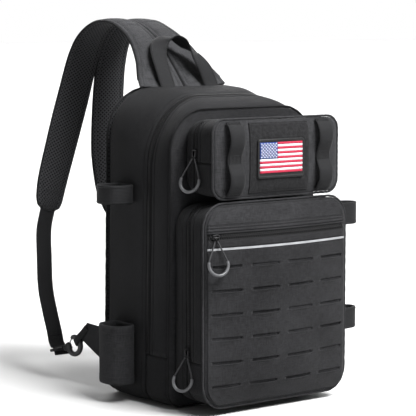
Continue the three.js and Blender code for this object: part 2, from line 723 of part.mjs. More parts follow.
zippedWalls("top", TOP_POCKET, TOP_ZIP, TOP_SEAM);
const ON_TOP = { offset: PANEL + GAP, thick: 1 };
add("top_front", faceSheet(TOP_FACE, { from: 281.5, to: 380, thick: PANEL }), NYLON);
add("loop_field", faceSheet(TOP_FACE, { ...ON_TOP, from: 285, to: 376.5, limit: 50, columns: 4 }), VELVET);
add("patch", faceSheet(TOP_FACE, { from: 304, to: 355, offset: 3.6, thick: 2, limit: 39.5, columns: 4 }),
  EMBROIDERY);
add("top_piping", piping(TOP_POCKET, TOP_POCKET.at(-1).y - 1.6, TOP_SEAM), NYLON);
add("web_strip_left", webStrip(-STRIP_X), WEBBING);
add("web_strip_right", webStrip(STRIP_X), WEBBING);

// Where each slider sits on its zip, which way it faces and runs, and how its pull hangs.
const onSide = (table, zip, side, z) => point(side * sideAt(section(table, zip), z), zip, z);
const onFace = (x, z) => point(x, faceDepth(POCKET_FACE, x, z) - PANEL - GAP - LAMINATE, z);
const UP_SIDE = { out: [-1, 0, 0], along: [0, 0, 1], across: [0.34, -0.94, 0], drop: 5.8 };
const ALONG_FACE = { out: [-0.16, -1, 0], along: [1, -0.16, 0], across: [1, -0.16, 0], drop: 4.3 };
const ZIPS = [
  { name: "top", at: onSide(TOP_POCKET, TOP_ZIP, -1, 337), ...UP_SIDE },
  { name: "pocket", at: onSide(POCKET, POCKET_ZIP, -1, 81), ...UP_SIDE },
  { name: "slash", at: onFace(-105, 233), ...ALONG_FACE },
];
ZIPS.forEach((zip) => {
  const route = pullRoute(zip);
  add(`slider_${zip.name}`, slider(zip), METAL);
  add(`pull_cord_${zip.name}`, tube(route, CORD_STEPS, CORD_RADIUS), CORD);
  add(`pull_grip_${zip.name}`, pullGrip(route), PLASTIC);
});
add("slider_main", slider({ at: onSide(BODY, BODY_ZIP, 1, 84), out: [1, 0, 0], along: [0, 0, 1] }), METAL);

add("grab_handle", grabHandle(), WEBBING);
add("strap_left", strap(STRAP_LEFT), MESH_CLOTH);
add("strap_right", strap(STRAP_RIGHT), MESH_CLOTH);
add("webbing_left", strapWebbing(WEBBING_LEFT, -1), WEBBING);
add("webbing_right", strapWebbing(WEBBING_RIGHT, 1), WEBBING);
[["left", -1], ["right", 1]].forEach(([name, side]) => {
  add(`snap_hook_${name}`, snapHook(side), PLASTIC);
  add(`anchor_tab_${name}`, anchorTab(side), WEBBING);
  add(`anchor_wing_${name}`, anchorWing(side), NYLON);
});

const ROD_X = -sideClear(BODY, [4, 20, 46], [266, 291]) - GAP;
const SLEEVE_X = -sideClear(BODY, [0, 20, 44], [26, 105]) - GAP;
const TOOL_X = sideClear(POCKET, [-102, -74], [84, 240]) + GAP;
add("rod_loop", bandLoop({ x: ROD_X, y: 26, reach: 40, halfY: 22, from: 266, to: 291, thick: 2.4 }), WEBBING);
add("rod_sleeve", bandLoop({ x: SLEEVE_X, y: 22, reach: 35, halfY: 24, from: 26, to: 105, thick: 2 }), NYLON);
const TOOL = { x: TOOL_X, y: -90, reach: 58, halfY: 16, thick: 2.4 };
add("tool_loop_upper", bandLoop({ ...TOOL, from: 229, to: 259 }), WEBBING);
add("tool_loop_lower", bandLoop({ ...TOOL, from: 84, to: 113 }), WEBBING);

export default group;
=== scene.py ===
# %% [markdown]
# # A fishing rucksack, dressed in Blender
#
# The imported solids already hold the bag's size, place and outline. This lesson makes each sewn piece again
# as the cloth, webbing or moulding that it is, over those solids and in the same frame. X runs to the right
# seen from the front, Y towards the padded back and Z up. Blender counts in metres, and a bag maker in
# millimetres, so the tables below are in millimetres and one factor turns them into metres.

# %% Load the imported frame
import math
from collections import namedtuple

import bpy
import numpy as np
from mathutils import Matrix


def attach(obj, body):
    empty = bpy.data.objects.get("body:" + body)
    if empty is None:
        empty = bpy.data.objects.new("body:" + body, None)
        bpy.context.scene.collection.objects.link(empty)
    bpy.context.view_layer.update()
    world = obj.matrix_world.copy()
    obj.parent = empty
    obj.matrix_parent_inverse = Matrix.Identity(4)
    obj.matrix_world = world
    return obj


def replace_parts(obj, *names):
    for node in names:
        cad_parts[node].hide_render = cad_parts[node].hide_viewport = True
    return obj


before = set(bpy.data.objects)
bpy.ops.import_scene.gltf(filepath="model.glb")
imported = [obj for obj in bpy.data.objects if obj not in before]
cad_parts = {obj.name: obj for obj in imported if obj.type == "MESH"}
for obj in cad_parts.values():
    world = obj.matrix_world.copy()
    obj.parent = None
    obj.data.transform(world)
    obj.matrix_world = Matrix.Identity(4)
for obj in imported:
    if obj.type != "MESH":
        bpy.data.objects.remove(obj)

MM = 0.001
scene = bpy.context.scene
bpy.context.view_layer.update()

# %% [markdown]
# ## The camera
#
# The photograph was taken from the front left with a long lens, a little above the middle of the bag. A
# long lens far away keeps the upright edges nearly parallel, as they are in the photograph. The position
# came from fitting the corners of the main compartment and of the patch, and no lens shift is needed.

# %% Camera
YAW = math.radians(38)
PITCH = math.radians(5.87)
camera = bpy.data.objects.new("camera", bpy.data.cameras.new("camera"))
camera.data.sensor_width = 36
camera.data.lens = 153.3
camera.location = (-1.486, -1.893, 0.5)
camera.rotation_euler = (math.pi / 2 - PITCH, 0, -YAW)
scene.collection.objects.link(camera)
scene.camera = camera
print("camera:", round(math.degrees(camera.data.angle), 2), "degrees wide")

# %% [markdown]
# ## Smooth routes
#
# Cords, straps and webbing all follow a smooth line through a few known points. A centripetal Catmull-Rom
# curve passes through every point without overshooting, so a short table is enough. Doing it in numpy gives
# as many stations as a piece needs.

# %% Route helpers
def unit(vectors):
    return vectors / np.maximum(np.linalg.norm(vectors, axis=-1, keepdims=True), 1e-12)


def smooth_route(points, count):
    """Points on a centripetal Catmull-Rom curve through the given ones, evenly spread from point to point."""
    known = np.asarray(points, float)
    padded_ends = np.vstack([2 * known[0] - known[1], known, 2 * known[-1] - known[-2]])
    place = np.linspace(0, len(known) - 1, count)
    first = np.minimum(place.astype(int), len(known) - 2)
    share = (place - first)[:, None]
    a, b, c, d = (padded_ends[first + i] for i in range(4))
    ab, bc, cd = (np.sqrt(np.linalg.norm(q - p, axis=1, keepdims=True)) for p, q in ((a, b), (b, c), (c, d)))
    leave = ((b - a) / ab - (c - a) / (ab + bc) + (c - b) / bc) * bc
    reach = ((c - b) / bc - (d - b) / (bc + cd) + (d - c) / cd) * bc
    cubic = 2 * b - 2 * c + leave + reach
    square = -3 * b + 3 * c - 2 * leave - reach
    return b + share * (leave + share * (square + share * cubic))


def lengths_along(route):
    steps = np.linalg.norm(np.diff(route, axis=0), axis=1)
    return np.concatenate([[0], np.cumsum(steps)])


def at_lengths(wanted, so_far, values):
    """What a line carries at some lengths along it, between its stations."""
    return np.stack([np.interp(wanted, so_far, values[:, i]) for i in range(3)], axis=-1)


def even_route(route, count, first=0.0, last=1.0):
    """The same line with stations at even distances, or a stretch of it given by shares of its length."""
    so_far = lengths_along(route)
    return at_lengths(np.linspace(first, last, count) * so_far[-1], so_far, route)


# %% [markdown]
# ## Sheets as grids
#
# Cloth is easiest to control as a grid of points with its own flat measure. Every sheet below is a numpy
# array of points, turned into a mesh in one call, and its UV map holds real metres along and across the
# cloth. A weave that reads this map keeps its true size on every piece, however the piece bends.

# %% Mesh helpers
def grid_faces(rows, columns, loop_rows=False, loop_columns=False):
    row, column = np.meshgrid(
        np.arange(rows if loop_rows else rows - 1),
        np.arange(columns if loop_columns else columns - 1),
        indexing="ij",
    )
    after, beside = (row + 1) % rows, (column + 1) % columns
    corners = [
        row * columns + column,
        after * columns + column,
        after * columns + beside,
        row * columns + beside,
    ]
    return np.stack(corners, axis=-1).reshape(-1, 4)


def flat_measure(points):
    """For each point of a grid, its distance in metres along the rows and along the columns."""
    rows, columns = points.shape[:2]
    along = np.stack([lengths_along(points[:, i]) for i in range(columns)], axis=1).mean(axis=1)
    across = np.stack([lengths_along(points[i]) for i in range(rows)], axis=0).mean(axis=0)
    return np.stack(np.meshgrid(along, across, indexing="ij"), axis=-1)


def unrolled(faces, flat):
    """UVs of each face's corners. Where a face closes a loop, its far corners count on past the end."""
    uv = flat.reshape(-1, 2)[faces].copy()
    for axis in range(2):
        values = uv[:, :, axis]
        far = values.max(axis=1, keepdims=True) - values > 0.5 * flat[..., axis].max()
        values[far] += flat[..., axis].max()
    return uv


def piece(name, points, faces, uv=None, finishes=(), finish_of=None):
    """A mesh object from arrays. finish_of names the finish of each face by its place in the list."""
    mesh = bpy.data.meshes.new(name)
    mesh.from_pydata(np.asarray(points).reshape(-1, 3).tolist(), [], [list(f) for f in faces])
    if uv is not None:
        layer = mesh.uv_layers.new(name="UVMap")
        layer.data.foreach_set("uv", np.asarray(uv, np.float32).ravel())
    for finish in finishes:
        mesh.materials.append(finish)
    if finish_of is not None:
        mesh.polygons.foreach_set("material_index", np.asarray(finish_of, np.int32))
    mesh.polygons.foreach_set("use_smooth", np.ones(len(mesh.polygons), bool))
    mesh.update()
    made = bpy.data.objects.new(name, mesh)
    scene.collection.objects.link(made)
    return made


def wear(made, slot, *nodes):
    """The piece rides on the bag and stands for the solids it covers. Its slot is not used."""
    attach(made, "root")
    if nodes:
        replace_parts(made, *nodes)
    return made


def thicken(made, thick):
    under = made.modifiers.new("thickness", "SOLIDIFY")
    under.thickness = thick
    under.offset = -1


def grid_piece(name, points, finish, loop_rows=False, loop_columns=False, thick=0):
    """A sheet of cloth over a grid of points. A thick one gets its other side underneath."""
    rows, columns = points.shape[:2]
    faces = grid_faces(rows, columns, loop_rows, loop_columns)
    made = piece(name, points, faces, unrolled(faces, flat_measure(points)), [finish])
    if thick:
        thicken(made, thick)
    return made


def volume_of(points, faces):
    """Signed volume inside a closed skin: below zero where its faces look inwards."""
    at = np.asarray(points).reshape(-1, 3)
    total = 0.0
    for face in faces:
        corners = at[list(face)]
        fan = np.cross(corners[1:-1], corners[2:])
        total += float((corners[0] * fan).sum())
    return total / 6


def turn_outwards(made, points, faces):
    if volume_of(points, faces) < 0:
        made.data.flip_normals()


def capped(name, points, finishes=(), finish_of=None, loop_rows=False):
    """A band swept along rows, closed round its columns, and at its ends unless its rows make a loop."""
    rows, columns = points.shape[:2]
    faces = grid_faces(rows, columns, loop_rows, True)
    corners = unrolled(faces, flat_measure(points)).reshape(-1, 2)
    faces = faces.tolist()
    if not loop_rows:
        faces += [list(range(columns))[::-1], list(range((rows - 1) * columns, rows * columns))]
        corners = np.vstack([corners, np.zeros((2 * columns, 2))])
    made = piece(name, points, faces, corners, finishes, finish_of)
    turn_outwards(made, points, faces)
    return made


def facing(points, loop_rows=False, loop_columns=False):
    """Unit normals of a grid, from the directions of its rows and columns."""
    def along(axis, loop):
        if loop:
            return np.roll(points, -1, axis) - np.roll(points, 1, axis)
        return np.gradient(points, axis=axis)
    return unit(np.cross(along(0, loop_rows), along(1, loop_columns)))


def ripple(points, size, seed, waves=7):
    """A soft, uneven swell of about -1 to 1 over points in space: the same on every run."""
    draw = np.random.default_rng(seed)
    total = np.zeros(points.shape[:-1])
    for _ in range(waves):
        heading = unit(draw.normal(size=3))
        length = size * draw.uniform(0.7, 1.6)
        total += np.sin(points @ heading * (2 * math.pi / length) + draw.uniform(0, 2 * math.pi))
    return total / waves**0.5


# %% [markdown]
# ## Thread and teeth
#
# Sewing thread and the teeth of a zip are the same small shape over and over: a peg with tapered ends that
# dip into the cloth. One function lays any number of them in one mesh, from their middles and directions.
# Real geometry catches the light along a seam, which a bump alone does not.

# %% Small pegs
PEG_SIDES = 5
PEG_STATIONS = [(-0.5, 0.35, -0.9), (-0.34, 1, 0), (0.34, 1, 0), (0.5, 0.35, -0.9)]


def pegs(name, middles, along, normals, length, radius, finish, squash=1.0):
    """Pegs of one length. A station is a place along one, a share of its radius and a dip into the cloth."""
    along = unit(along)
    side = unit(np.cross(normals, along))
    up = np.cross(along, side)
    turn = np.arange(PEG_SIDES) * 2 * math.pi / PEG_SIDES
    rings = []
    for place, share, dip in PEG_STATIONS:
        centre = middles + along * place * length + up * dip * radius
        rings.append(
            centre[:, None]
            + side[:, None] * (np.cos(turn) * radius * share)[None, :, None]
            + up[:, None] * (np.sin(turn) * radius * share * squash)[None, :, None]
        )
    points = np.stack(rings, axis=1)
    count = PEG_SIDES * len(PEG_STATIONS)
    skin = grid_faces(len(PEG_STATIONS), PEG_SIDES, loop_columns=True)
    starts = np.arange(len(middles)) * count
    faces = (skin[None] + starts[:, None, None]).reshape(-1, 4).tolist()
    ends = [list(range(PEG_SIDES)), list(range(count - 1, count - 1 - PEG_SIDES, -1))]
    faces += [[start + i for i in end] for start in starts for end in ends]
    return piece(name, points, faces, finishes=[finish])


def spaced(route, normals, pitch):
    """Middles, directions and normals at even steps along a line."""
    so_far = lengths_along(route)
    count = max(1, int(so_far[-1] / pitch))
    wanted = (np.arange(count) + 0.5) * so_far[-1] / count
    carried = (route, np.gradient(route, axis=0), normals)
    middles, along, up = (at_lengths(wanted, so_far, values) for values in carried)
    return middles, along, unit(up)


STITCH = 3.2 * MM
THREAD = 0.36 * MM


def sew(name, lines, finish, pitch=STITCH, thread=THREAD):
    """One mesh of stitches along several lines, each a route with the normals of the cloth under it."""
    laid = [spaced(route, normals, pitch) for route, normals in lines]
    middles, along, normals = (np.concatenate(part) for part in zip(*laid))
    made = pegs(name, middles + normals * thread * 0.35, along, normals, pitch * 0.8, thread, finish)
    print(name, "-", len(middles), "stitches")
    return wear(made, "nylon")

# %% [markdown]
# ## The pulls' cords
#
# Three of the four zip sliders carry a loop of thin braided cord that hangs down, with a moulded grip
# round its lower half. The cord is a free, flexible thing, and it comes first. A curve with a round bevel
# would do, but a swept tube has a box of its true size and takes a braid along its length. The route
# repeats the one of the solids.

# %% Pocket faces, which one of the pulls hangs on
Face = namedtuple("Face", "half bottom top corner plane swell")
POCKET_FACE = Face(119.5, 12, 273, 30, -134.3, 14)
TOP_FACE = Face(104, 281.5, 380, 16, -134.3, 7)


def face_depth(face, x, z):
    """Depth of a pocket's face in millimetres: it swells towards the middle."""
    middle = (face.top + face.bottom) / 2
    up = (z - middle) / (face.top - middle)
    return face.plane - face.swell * (1 - (x / face.half) ** 2) * (1 - up**4)


# %% Cords of the three pulls
PULL_HALF = [(1.6, 0), (7.2, 12), (12.7, 24), (14, 29.5), (12.1, 36.2), (7, 41.2)]
PULL = [(-a, d) for a, d in PULL_HALF] + [(0, 43)] + PULL_HALF[::-1]
PULL_OFF, PULL_LEAN = 2.4, 0.2
TILT = (0.34, -0.94, 0)
ALONG_SLASH, OFF_SLASH = (1, -0.16, 0), (-0.16, -1, 0)
CORD_DIAMETER = 2 * MM
CORD_GAP = 0.3
ON_FACE = 3.9
SLASH_PULL_X, SLASH_LINE = -105, 233
slash_pull_y = face_depth(POCKET_FACE, SLASH_PULL_X, SLASH_LINE) - ON_FACE
Pull = namedtuple("Pull", "at across out drop")
PULLS = {
    "top": Pull((-103.5, -96, 337), TILT, (-1, 0, 0), 5.8),
    "pocket": Pull((-120, -102, 81), TILT, (-1, 0, 0), 5.8),
    "slash": Pull((SLASH_PULL_X, slash_pull_y, SLASH_LINE), ALONG_SLASH, OFF_SLASH, 4.3),
}


def pull_route(pull):
    across, out = unit(np.array(pull.across)), unit(np.array(pull.out))
    start = np.array(pull.at) - np.array([0, 0, pull.drop + CORD_GAP])
    points = [start + a * across + (PULL_OFF + PULL_LEAN * d) * out - np.array([0, 0, d]) for a, d in PULL]
    return smooth_route(points, 97) * MM


def spokes(across, out, turn):
    """Directions round each station of a line, one for each angle."""
    return across[:, None] * np.cos(turn)[None, :, None] + out[:, None] * np.sin(turn)[None, :, None]


def full_turn(sides):
    return np.linspace(0, 2 * math.pi, sides, endpoint=False)


def tube(name, route, radius, side):
    """A round tube along a route, closed at both ends. The route never runs along the direction side."""
    along = unit(np.gradient(route, axis=0))
    across = unit(side - along * (along @ side)[:, None])
    out = np.cross(along, across)
    return capped(name, route[:, None] + spokes(across, out, full_turn(12)) * radius)


pull_routes = {name: even_route(pull_route(pull), 49) for name, pull in PULLS.items()}
pull_cords, loop_planes = {}, {}
for name, route in pull_routes.items():
    hung = PULLS[name]
    downward = PULL_LEAN * np.array(hung.out) - np.array((0, 0, 1))
    loop_planes[name] = unit(np.cross(hung.across, downward))
    cord = tube(f"cord_{name}", route, CORD_DIAMETER / 2, loop_planes[name])
    pull_cords[name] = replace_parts(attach(cord, "root"), f"pull_cord_{name}")
    print("cord of the", name, "pull:", round(lengths_along(route)[-1] / MM, 1), "mm")

# %% [markdown]
# ## Finishes
#
# Every finish is built from nodes, so it has detail at any distance and needs no pictures. A short helper
# adds a node, sets its values and links whatever is a socket. Fine structure, such as threads and ribs,
# goes into the bump, and slow variation, such as fading and dust, into the colour and the roughness.

# %% Node helpers
class Finish:
    """A material under construction: add() makes a node and returns its first output."""

    def __init__(self, name, colour, roughness, **fixed):
        self.material = bpy.data.materials.new(name)
        self.material.use_nodes = True
        self.tree = self.material.node_tree
        self.shader = self.tree.nodes["Principled BSDF"]
        self.shader.inputs["Base Color"].default_value = (*colour, 1)
        self.shader.inputs["Roughness"].default_value = roughness
        for socket, value in fixed.items():
            self.shader.inputs[socket.replace("_", " ")].default_value = value
        self.material.diffuse_color = (*colour, 1)

    def feed(self, socket, value):
        if isinstance(value, bpy.types.NodeSocket):
            self.tree.links.new(value, socket)
        else:
            socket.default_value = value

    def add(self, kind, *values, output=0, settings=(), **named):
        node = self.tree.nodes.new("ShaderNode" + kind)
        for key, value in dict(settings).items():
            setattr(node, key, value)
        for i, value in enumerate(values):
            self.feed(node.inputs[i], value)
        for key, value in named.items():
            self.feed(node.inputs[key.replace("_", " ")], value)
        return node.outputs[output]

    def math(self, operation, *values):
        return self.add("Math", *values, settings={"operation": operation})

    def noise(self, where, scale, detail=4.0):
        return self.add("TexNoise", Vector=where, Scale=scale, Detail=detail)

    def ramp(self, value, low, high, from_low, from_high):
        """A value moved from one range to another."""
        return self.add("MapRange", value, from_low, from_high, low, high)

    def flat_place(self):
        """The two flat measures of the cloth, in metres."""
        split = self.tree.nodes.new("ShaderNodeSeparateXYZ")
        self.tree.links.new(self.add("TexCoord", output=2), split.inputs[0])
        return split.outputs[0], split.outputs[1]

    def place(self):
        return self.add("TexCoord", output=3)

    def wave(self, value, pitch):
        """A smooth wave of -1 to 1 that repeats every pitch."""
        return self.math("SINE", self.math("MULTIPLY", value, 2 * math.pi / pitch))

    def mix(self, share, one, other):
        node = self.tree.nodes.new("ShaderNodeMix")
        node.data_type = "RGBA"
        self.feed(node.inputs["Factor"], share)
        for socket, value in ((node.inputs[6], one), (node.inputs[7], other)):
            self.feed(socket, value if isinstance(value, bpy.types.NodeSocket) else (*value, 1))
        return node.outputs[2]

    def bump(self, height, distance, strength=1.0):
        normal = self.add("Bump", Strength=strength, Distance=distance, Height=height)
        self.feed(self.shader.inputs["Normal"], normal)

    def colour(self, value):
        self.feed(self.shader.inputs["Base Color"], value)

    def rough(self, value):
        self.feed(self.shader.inputs["Roughness"], value)


def shade(colour, factor):
    return tuple(c * factor for c in colour)


# %% [markdown]
# ## Nylon cloth
#
# The walls are a plain weave of thick nylon yarn. Two waves at right angles, multiplied, give the over and
# under of a plain weave, and the threads on top are painted lighter as a painted highlight. A coarse noise
# fades the dye a little, and two noises stretched along the yarns give the streaks of uneven thread that
# show in the photograph. The walls take a darker copy of the cloth, which is painted shade. Lighter copies
# are painted light on the upper pocket's face and the straps, and a painted highlight on the pockets' piping.

# %% Nylon finish
NYLON_COLOUR = (0.0182, 0.0183, 0.0195)
YARN_ALONG, YARN_ACROSS = 110.0, 520.0


def nylon_finish(name, colour=NYLON_COLOUR, pitch=1.1 * MM, depth=0.16 * MM):
    cloth = Finish(name, colour, 0.72, Sheen_Weight=0.03, Sheen_Roughness=0.35, Specular_IOR_Level=0.06)
    u, v = cloth.flat_place()
    weave = cloth.math("MULTIPLY", cloth.wave(u, pitch), cloth.wave(v, pitch))
    where = cloth.place()
    fading = cloth.noise(where, 14.0, 5.0)
    crease = cloth.noise(where, 55.0, 3.0)

    def streaks(a, b):
        stretched = cloth.add("CombineXYZ", cloth.math("MULTIPLY", u, a), cloth.math("MULTIPLY", v, b), 0.0)
        return cloth.noise(stretched, 1.0, 3.0)

    weft, warp = streaks(YARN_ALONG, YARN_ACROSS), streaks(YARN_ACROSS, YARN_ALONG)
    yarns = cloth.math("ADD", cloth.math("MULTIPLY", weft, 0.5), cloth.math("MULTIPLY", warp, 0.5))
    tone = cloth.math("ADD", cloth.math("MULTIPLY", fading, 0.3), cloth.math("MULTIPLY", yarns, 0.7))
    tone = cloth.ramp(tone, 0.0, 1.0, 0.4, 0.6)
    lit = cloth.mix(tone, shade(colour, 0.58), shade(colour, 1.45))
    # Threads lying on top are mixed towards a lighter colour: a painted highlight on the weave.
    over = cloth.ramp(weave, 0.0, 1.0, -0.2, 1.0)
    cloth.colour(cloth.mix(cloth.math("MULTIPLY", over, 0.3), lit, shade(colour, 1.8)))
    cloth.rough(cloth.ramp(tone, 0.66, 0.84, 0.0, 1.0))
    threads = cloth.math("ADD", weave, cloth.math("MULTIPLY", yarns, 2.0))
    height = cloth.math("ADD", threads, cloth.math("MULTIPLY", crease, 3.5))
    cloth.bump(height, depth, 0.85)
    return cloth.material


nylon = nylon_finish("nylon_cloth")
# A darker copy of the cloth for the walls: painted shade on the bag's sides.
painted_shade_nylon = nylon_finish("nylon_cloth_painted_shade", shade(NYLON_COLOUR, 0.62))
# A lighter copy for the straps' outer cloth: painted light.
painted_light_strap_cloth = nylon_finish("painted_light_strap_cloth", shade(NYLON_COLOUR, 1.5))
# A lighter copy for the upper pocket's face: painted light that evens out the shading of its swell.
painted_light_face_cloth = nylon_finish("painted_light_face_cloth", shade(NYLON_COLOUR, 1.3))
# A lighter copy for the pockets' piping: a painted highlight along their edges.
painted_highlight_piping_cloth = nylon_finish("painted_highlight_piping_cloth", shade(NYLON_COLOUR, 1.1), 0.9 * MM, 0.14 * MM)
laminate = nylon_finish("slotted_laminate", shade(NYLON_COLOUR, 0.82), 0.8 * MM, 0.12 * MM)
binding = nylon_finish("binding_tape", shade(NYLON_COLOUR, 0.45), 0.9 * MM, 0.14 * MM)
print("nylon finishes:", nylon.name, painted_shade_nylon.name, laminate.name, binding.name)

# %% [markdown]
# ## Webbing, zip, mesh and pile
#
# Webbing shows ribs along its length, crossed by a fine weave, and the grooves between the ribs are painted
# darker as painted shade. Zip tape is a tight rib with a moulded coil on it, with the same painted shade. The
# inner side of the padding is a knitted mesh with open holes, made here by two slanting waves, and the holes
# are painted near black as painted shade. The touch fastener's pile is all noise: a fuzzy, deep black that
# never shines.

# %% Webbing finish
WEBBING_COLOUR = (0.017, 0.0172, 0.0184)


def webbing_finish(name, colour, rib, depth):
    band = Finish(name, colour, 0.66, Sheen_Weight=0.03, Sheen_Roughness=0.35, Specular_IOR_Level=0.1)
    u, v = band.flat_place()
    ribs = band.math("ABSOLUTE", band.wave(v, rib * 2))
    picks = band.wave(band.math("ADD", u, band.math("MULTIPLY", ribs, rib * 0.5)), rib * 0.9)
    where = band.place()
    wear_noise = band.noise(where, 120.0, 5.0)
    tone = band.ramp(wear_noise, 0.0, 1.0, 0.35, 0.66)
    body = band.mix(tone, shade(colour, 0.75), shade(colour, 1.35))
    # Darker between the ribs: painted shade in the grooves.
    band.colour(band.mix(band.math("MULTIPLY", ribs, 0.4), shade(colour, 0.55), body))
    band.rough(band.ramp(wear_noise, 0.58, 0.8, 0.3, 0.7))
    height = band.math("ADD", band.math("MULTIPLY", ribs, 1.3), band.math("MULTIPLY", picks, 0.35))
    band.bump(height, depth, 0.8)
    return band.material


webbing = webbing_finish("woven_webbing", WEBBING_COLOUR, 1.9 * MM, 0.25 * MM)
zip_tape = webbing_finish("zip_tape", (0.009, 0.009, 0.0097), 1.1 * MM, 0.14 * MM)


# %% Mesh cloth finish
def mesh_finish(name, colour, pitch):
    knit = Finish(name, colour, 0.85, Sheen_Weight=0.03, Sheen_Roughness=0.5, Specular_IOR_Level=0.06)
    u, v = knit.flat_place()
    slant = knit.wave(knit.math("ADD", u, v), pitch)
    other = knit.wave(knit.math("SUBTRACT", u, v), pitch)
    threads = knit.math("MAXIMUM", slant, other)
    holes = knit.ramp(threads, 0.0, 1.0, -0.15, 0.55)
    fuzz = knit.noise(knit.place(), 700.0, 3.0)
    lit = knit.mix(fuzz, shade(colour, 0.8), shade(colour, 1.7))
    # The holes are painted near black: painted shade in them.
    knit.colour(knit.mix(holes, shade(colour, 0.15), lit))
    knit.rough(knit.ramp(fuzz, 0.78, 0.95, 0.3, 0.7))
    knit.bump(holes, 0.5 * MM, 0.9)
    return knit.material


mesh_cloth = mesh_finish("spacer_mesh", (0.024, 0.0242, 0.0258), 5.6 * MM)


# %% Loop pile finish
def pile_finish(name, colour):
    pile = Finish(name, colour, 0.95, Sheen_Weight=0.02, Sheen_Roughness=0.7, Specular_IOR_Level=0.04)
    where = pile.place()
    loops = pile.noise(where, 1500.0, 2.0)
    tufts = pile.noise(where, 260.0, 4.0)
    both = pile.math("ADD", loops, tufts)
    pile.colour(pile.mix(pile.ramp(both, 0.0, 1.0, 0.8, 1.25), shade(colour, 0.55), shade(colour, 1.4)))
    pile.rough(pile.ramp(loops, 0.88, 1.0, 0.3, 0.7))
    pile.bump(both, 0.7 * MM, 0.9)
    return pile.material


loop_pile = pile_finish("loop_pile", (0.0125, 0.0125, 0.0133))
print("bands:", webbing.name, zip_tape.name, mesh_cloth.name, loop_pile.name)

# %% [markdown]
# ## Hard trim, thread and tape
#
# Moulded plastic has a fine leathery skin and worn, smoother high spots. The sliders are black painted
# castings, and the hooks' gates are bright wire. The reflective strip is a silver tape of tiny glass beads.
# Thread is a twisted yarn, a shade darker than the cloth, so seams read as fine dark dashes.

# %% Trim finishes
def moulded_finish(name, colour, roughness, **fixed):
    plastic = Finish(name, colour, roughness, **fixed)
    where = plastic.place()
    skin = plastic.noise(where, 1100.0, 2.0)
    scuff = plastic.noise(where, 90.0, 6.0)
    worn = plastic.ramp(scuff, 0.0, 1.0, 0.4, 0.72)
    plastic.colour(plastic.mix(worn, shade(colour, 0.88), shade(colour, 1.4)))
    plastic.rough(plastic.ramp(scuff, roughness - 0.1, roughness + 0.14, 0.3, 0.7))
    plastic.bump(plastic.math("ADD", skin, plastic.math("MULTIPLY", scuff, 0.6)), 0.06 * MM, 0.6)
    return plastic.material


hook_plastic = moulded_finish("hook_plastic", (0.01, 0.01, 0.011), 0.42, Specular_IOR_Level=0.25)
grip_plastic = moulded_finish("grip_plastic", (0.068, 0.069, 0.073), 0.38, Specular_IOR_Level=0.4)
coil_plastic = moulded_finish("coil_plastic", (0.007, 0.007, 0.0075), 0.42, Specular_IOR_Level=0.2)
bright_wire = moulded_finish("bright_wire", (0.3, 0.3, 0.31), 0.3, Metallic=0.9)
painted_metal = moulded_finish("painted_metal", (0.008, 0.008, 0.0088), 0.36, Specular_IOR_Level=0.3)


def thread_finish(name, colour):
    thread = Finish(name, colour, 0.6, Sheen_Weight=0.03, Specular_IOR_Level=0.2)
    fibre = thread.noise(thread.place(), 2600.0, 2.0)
    thread.colour(thread.mix(fibre, shade(colour, 0.6), shade(colour, 1.5)))
    thread.rough(thread.ramp(fibre, 0.5, 0.75, 0.3, 0.7))
    thread.bump(fibre, 0.12 * MM, 0.7)
    return thread.material


thread = thread_finish("sewing_thread", (0.011, 0.0111, 0.012))
cord_braid = thread_finish("cord_braid", (0.027, 0.0272, 0.029))


def beaded_finish(name, colour):
    tape = Finish(name, colour, 0.4, Specular_IOR_Level=0.3)
    beads = tape.noise(tape.place(), 2400.0, 1.0)
    dirt = tape.noise(tape.place(), 60.0, 4.0)
    tape.colour(tape.mix(tape.ramp(dirt, 0.0, 1.0, 0.35, 0.7), shade(colour, 0.86), shade(colour, 1.12)))
    tape.rough(tape.ramp(beads, 0.28, 0.46, 0.3, 0.7))
    tape.bump(beads, 0.05 * MM, 0.5)
    return tape.material


reflective = beaded_finish("reflective_beads", (0.24, 0.245, 0.255))
print("trim:", hook_plastic.name, grip_plastic.name, painted_metal.name, thread.name, reflective.name)

# %% [markdown]
# ## Grips on the cords
#
# The lower half of each loop is sheathed in a moulded sleeve, which is what a hand takes hold of. A second
# tube round the cord's own route bends exactly as the cord does, so no curve has to be fitted. It has a
# bore, and its ends are rounded over. With it in place, each cord gets its finish.

# %% Cords take their finish and their grips
GRIP_STRETCH = (0.26, 0.74)
GRIP_RADIUS, GRIP_BORE = 2.0 * MM, 1.4 * MM


def pull_grip(name, route, side):
    """A moulded sleeve round the lower half of a cord, rounded over at both ends and open inside."""
    line = even_route(route, 41, *GRIP_STRETCH)
    along = unit(np.gradient(line, axis=0))
    across = np.broadcast_to(unit(np.array(side)), line.shape)
    out = np.cross(along, across)
    from_end = np.minimum(lengths_along(line), lengths_along(line)[-1] - lengths_along(line))
    round_end = np.sqrt(1 - (1 - np.minimum(from_end / (0.8 * MM), 1)) ** 2)
    outer = GRIP_BORE + (GRIP_RADIUS - GRIP_BORE) * round_end
    spoke = spokes(across, out, full_turn(16))
    skins = []
    for radius, order in ((outer, slice(None)), (np.full(len(line), GRIP_BORE), slice(None, None, -1))):
        skins.append((line[:, None] + spoke * radius[:, None, None])[order])
    points = np.concatenate(skins)
    faces = grid_faces(len(points), 16, loop_rows=True, loop_columns=True)
    return piece(name, points, faces, finishes=[grip_plastic])


for name, cord in pull_cords.items():
    cord.data.materials.append(cord_braid)
    sleeve = pull_grip(f"grip_{name}", pull_routes[name], loop_planes[name])
    grip = wear(sleeve, "plastic", f"pull_grip_{name}")
print("pulls:", ", ".join(pull_cords))

# %% [markdown]
# ## The sewn walls
#
# The main compartment and the two pockets are made alike: a ring of cloth at the back, a zip over the arch,
# a narrower band in front of the zip and a plain base below a cross seam. One table per compartment gives
# the outline at a few depths, in the same numbers as the solids. Between the rows the outline is eased, so
# that the cloth has no facets.

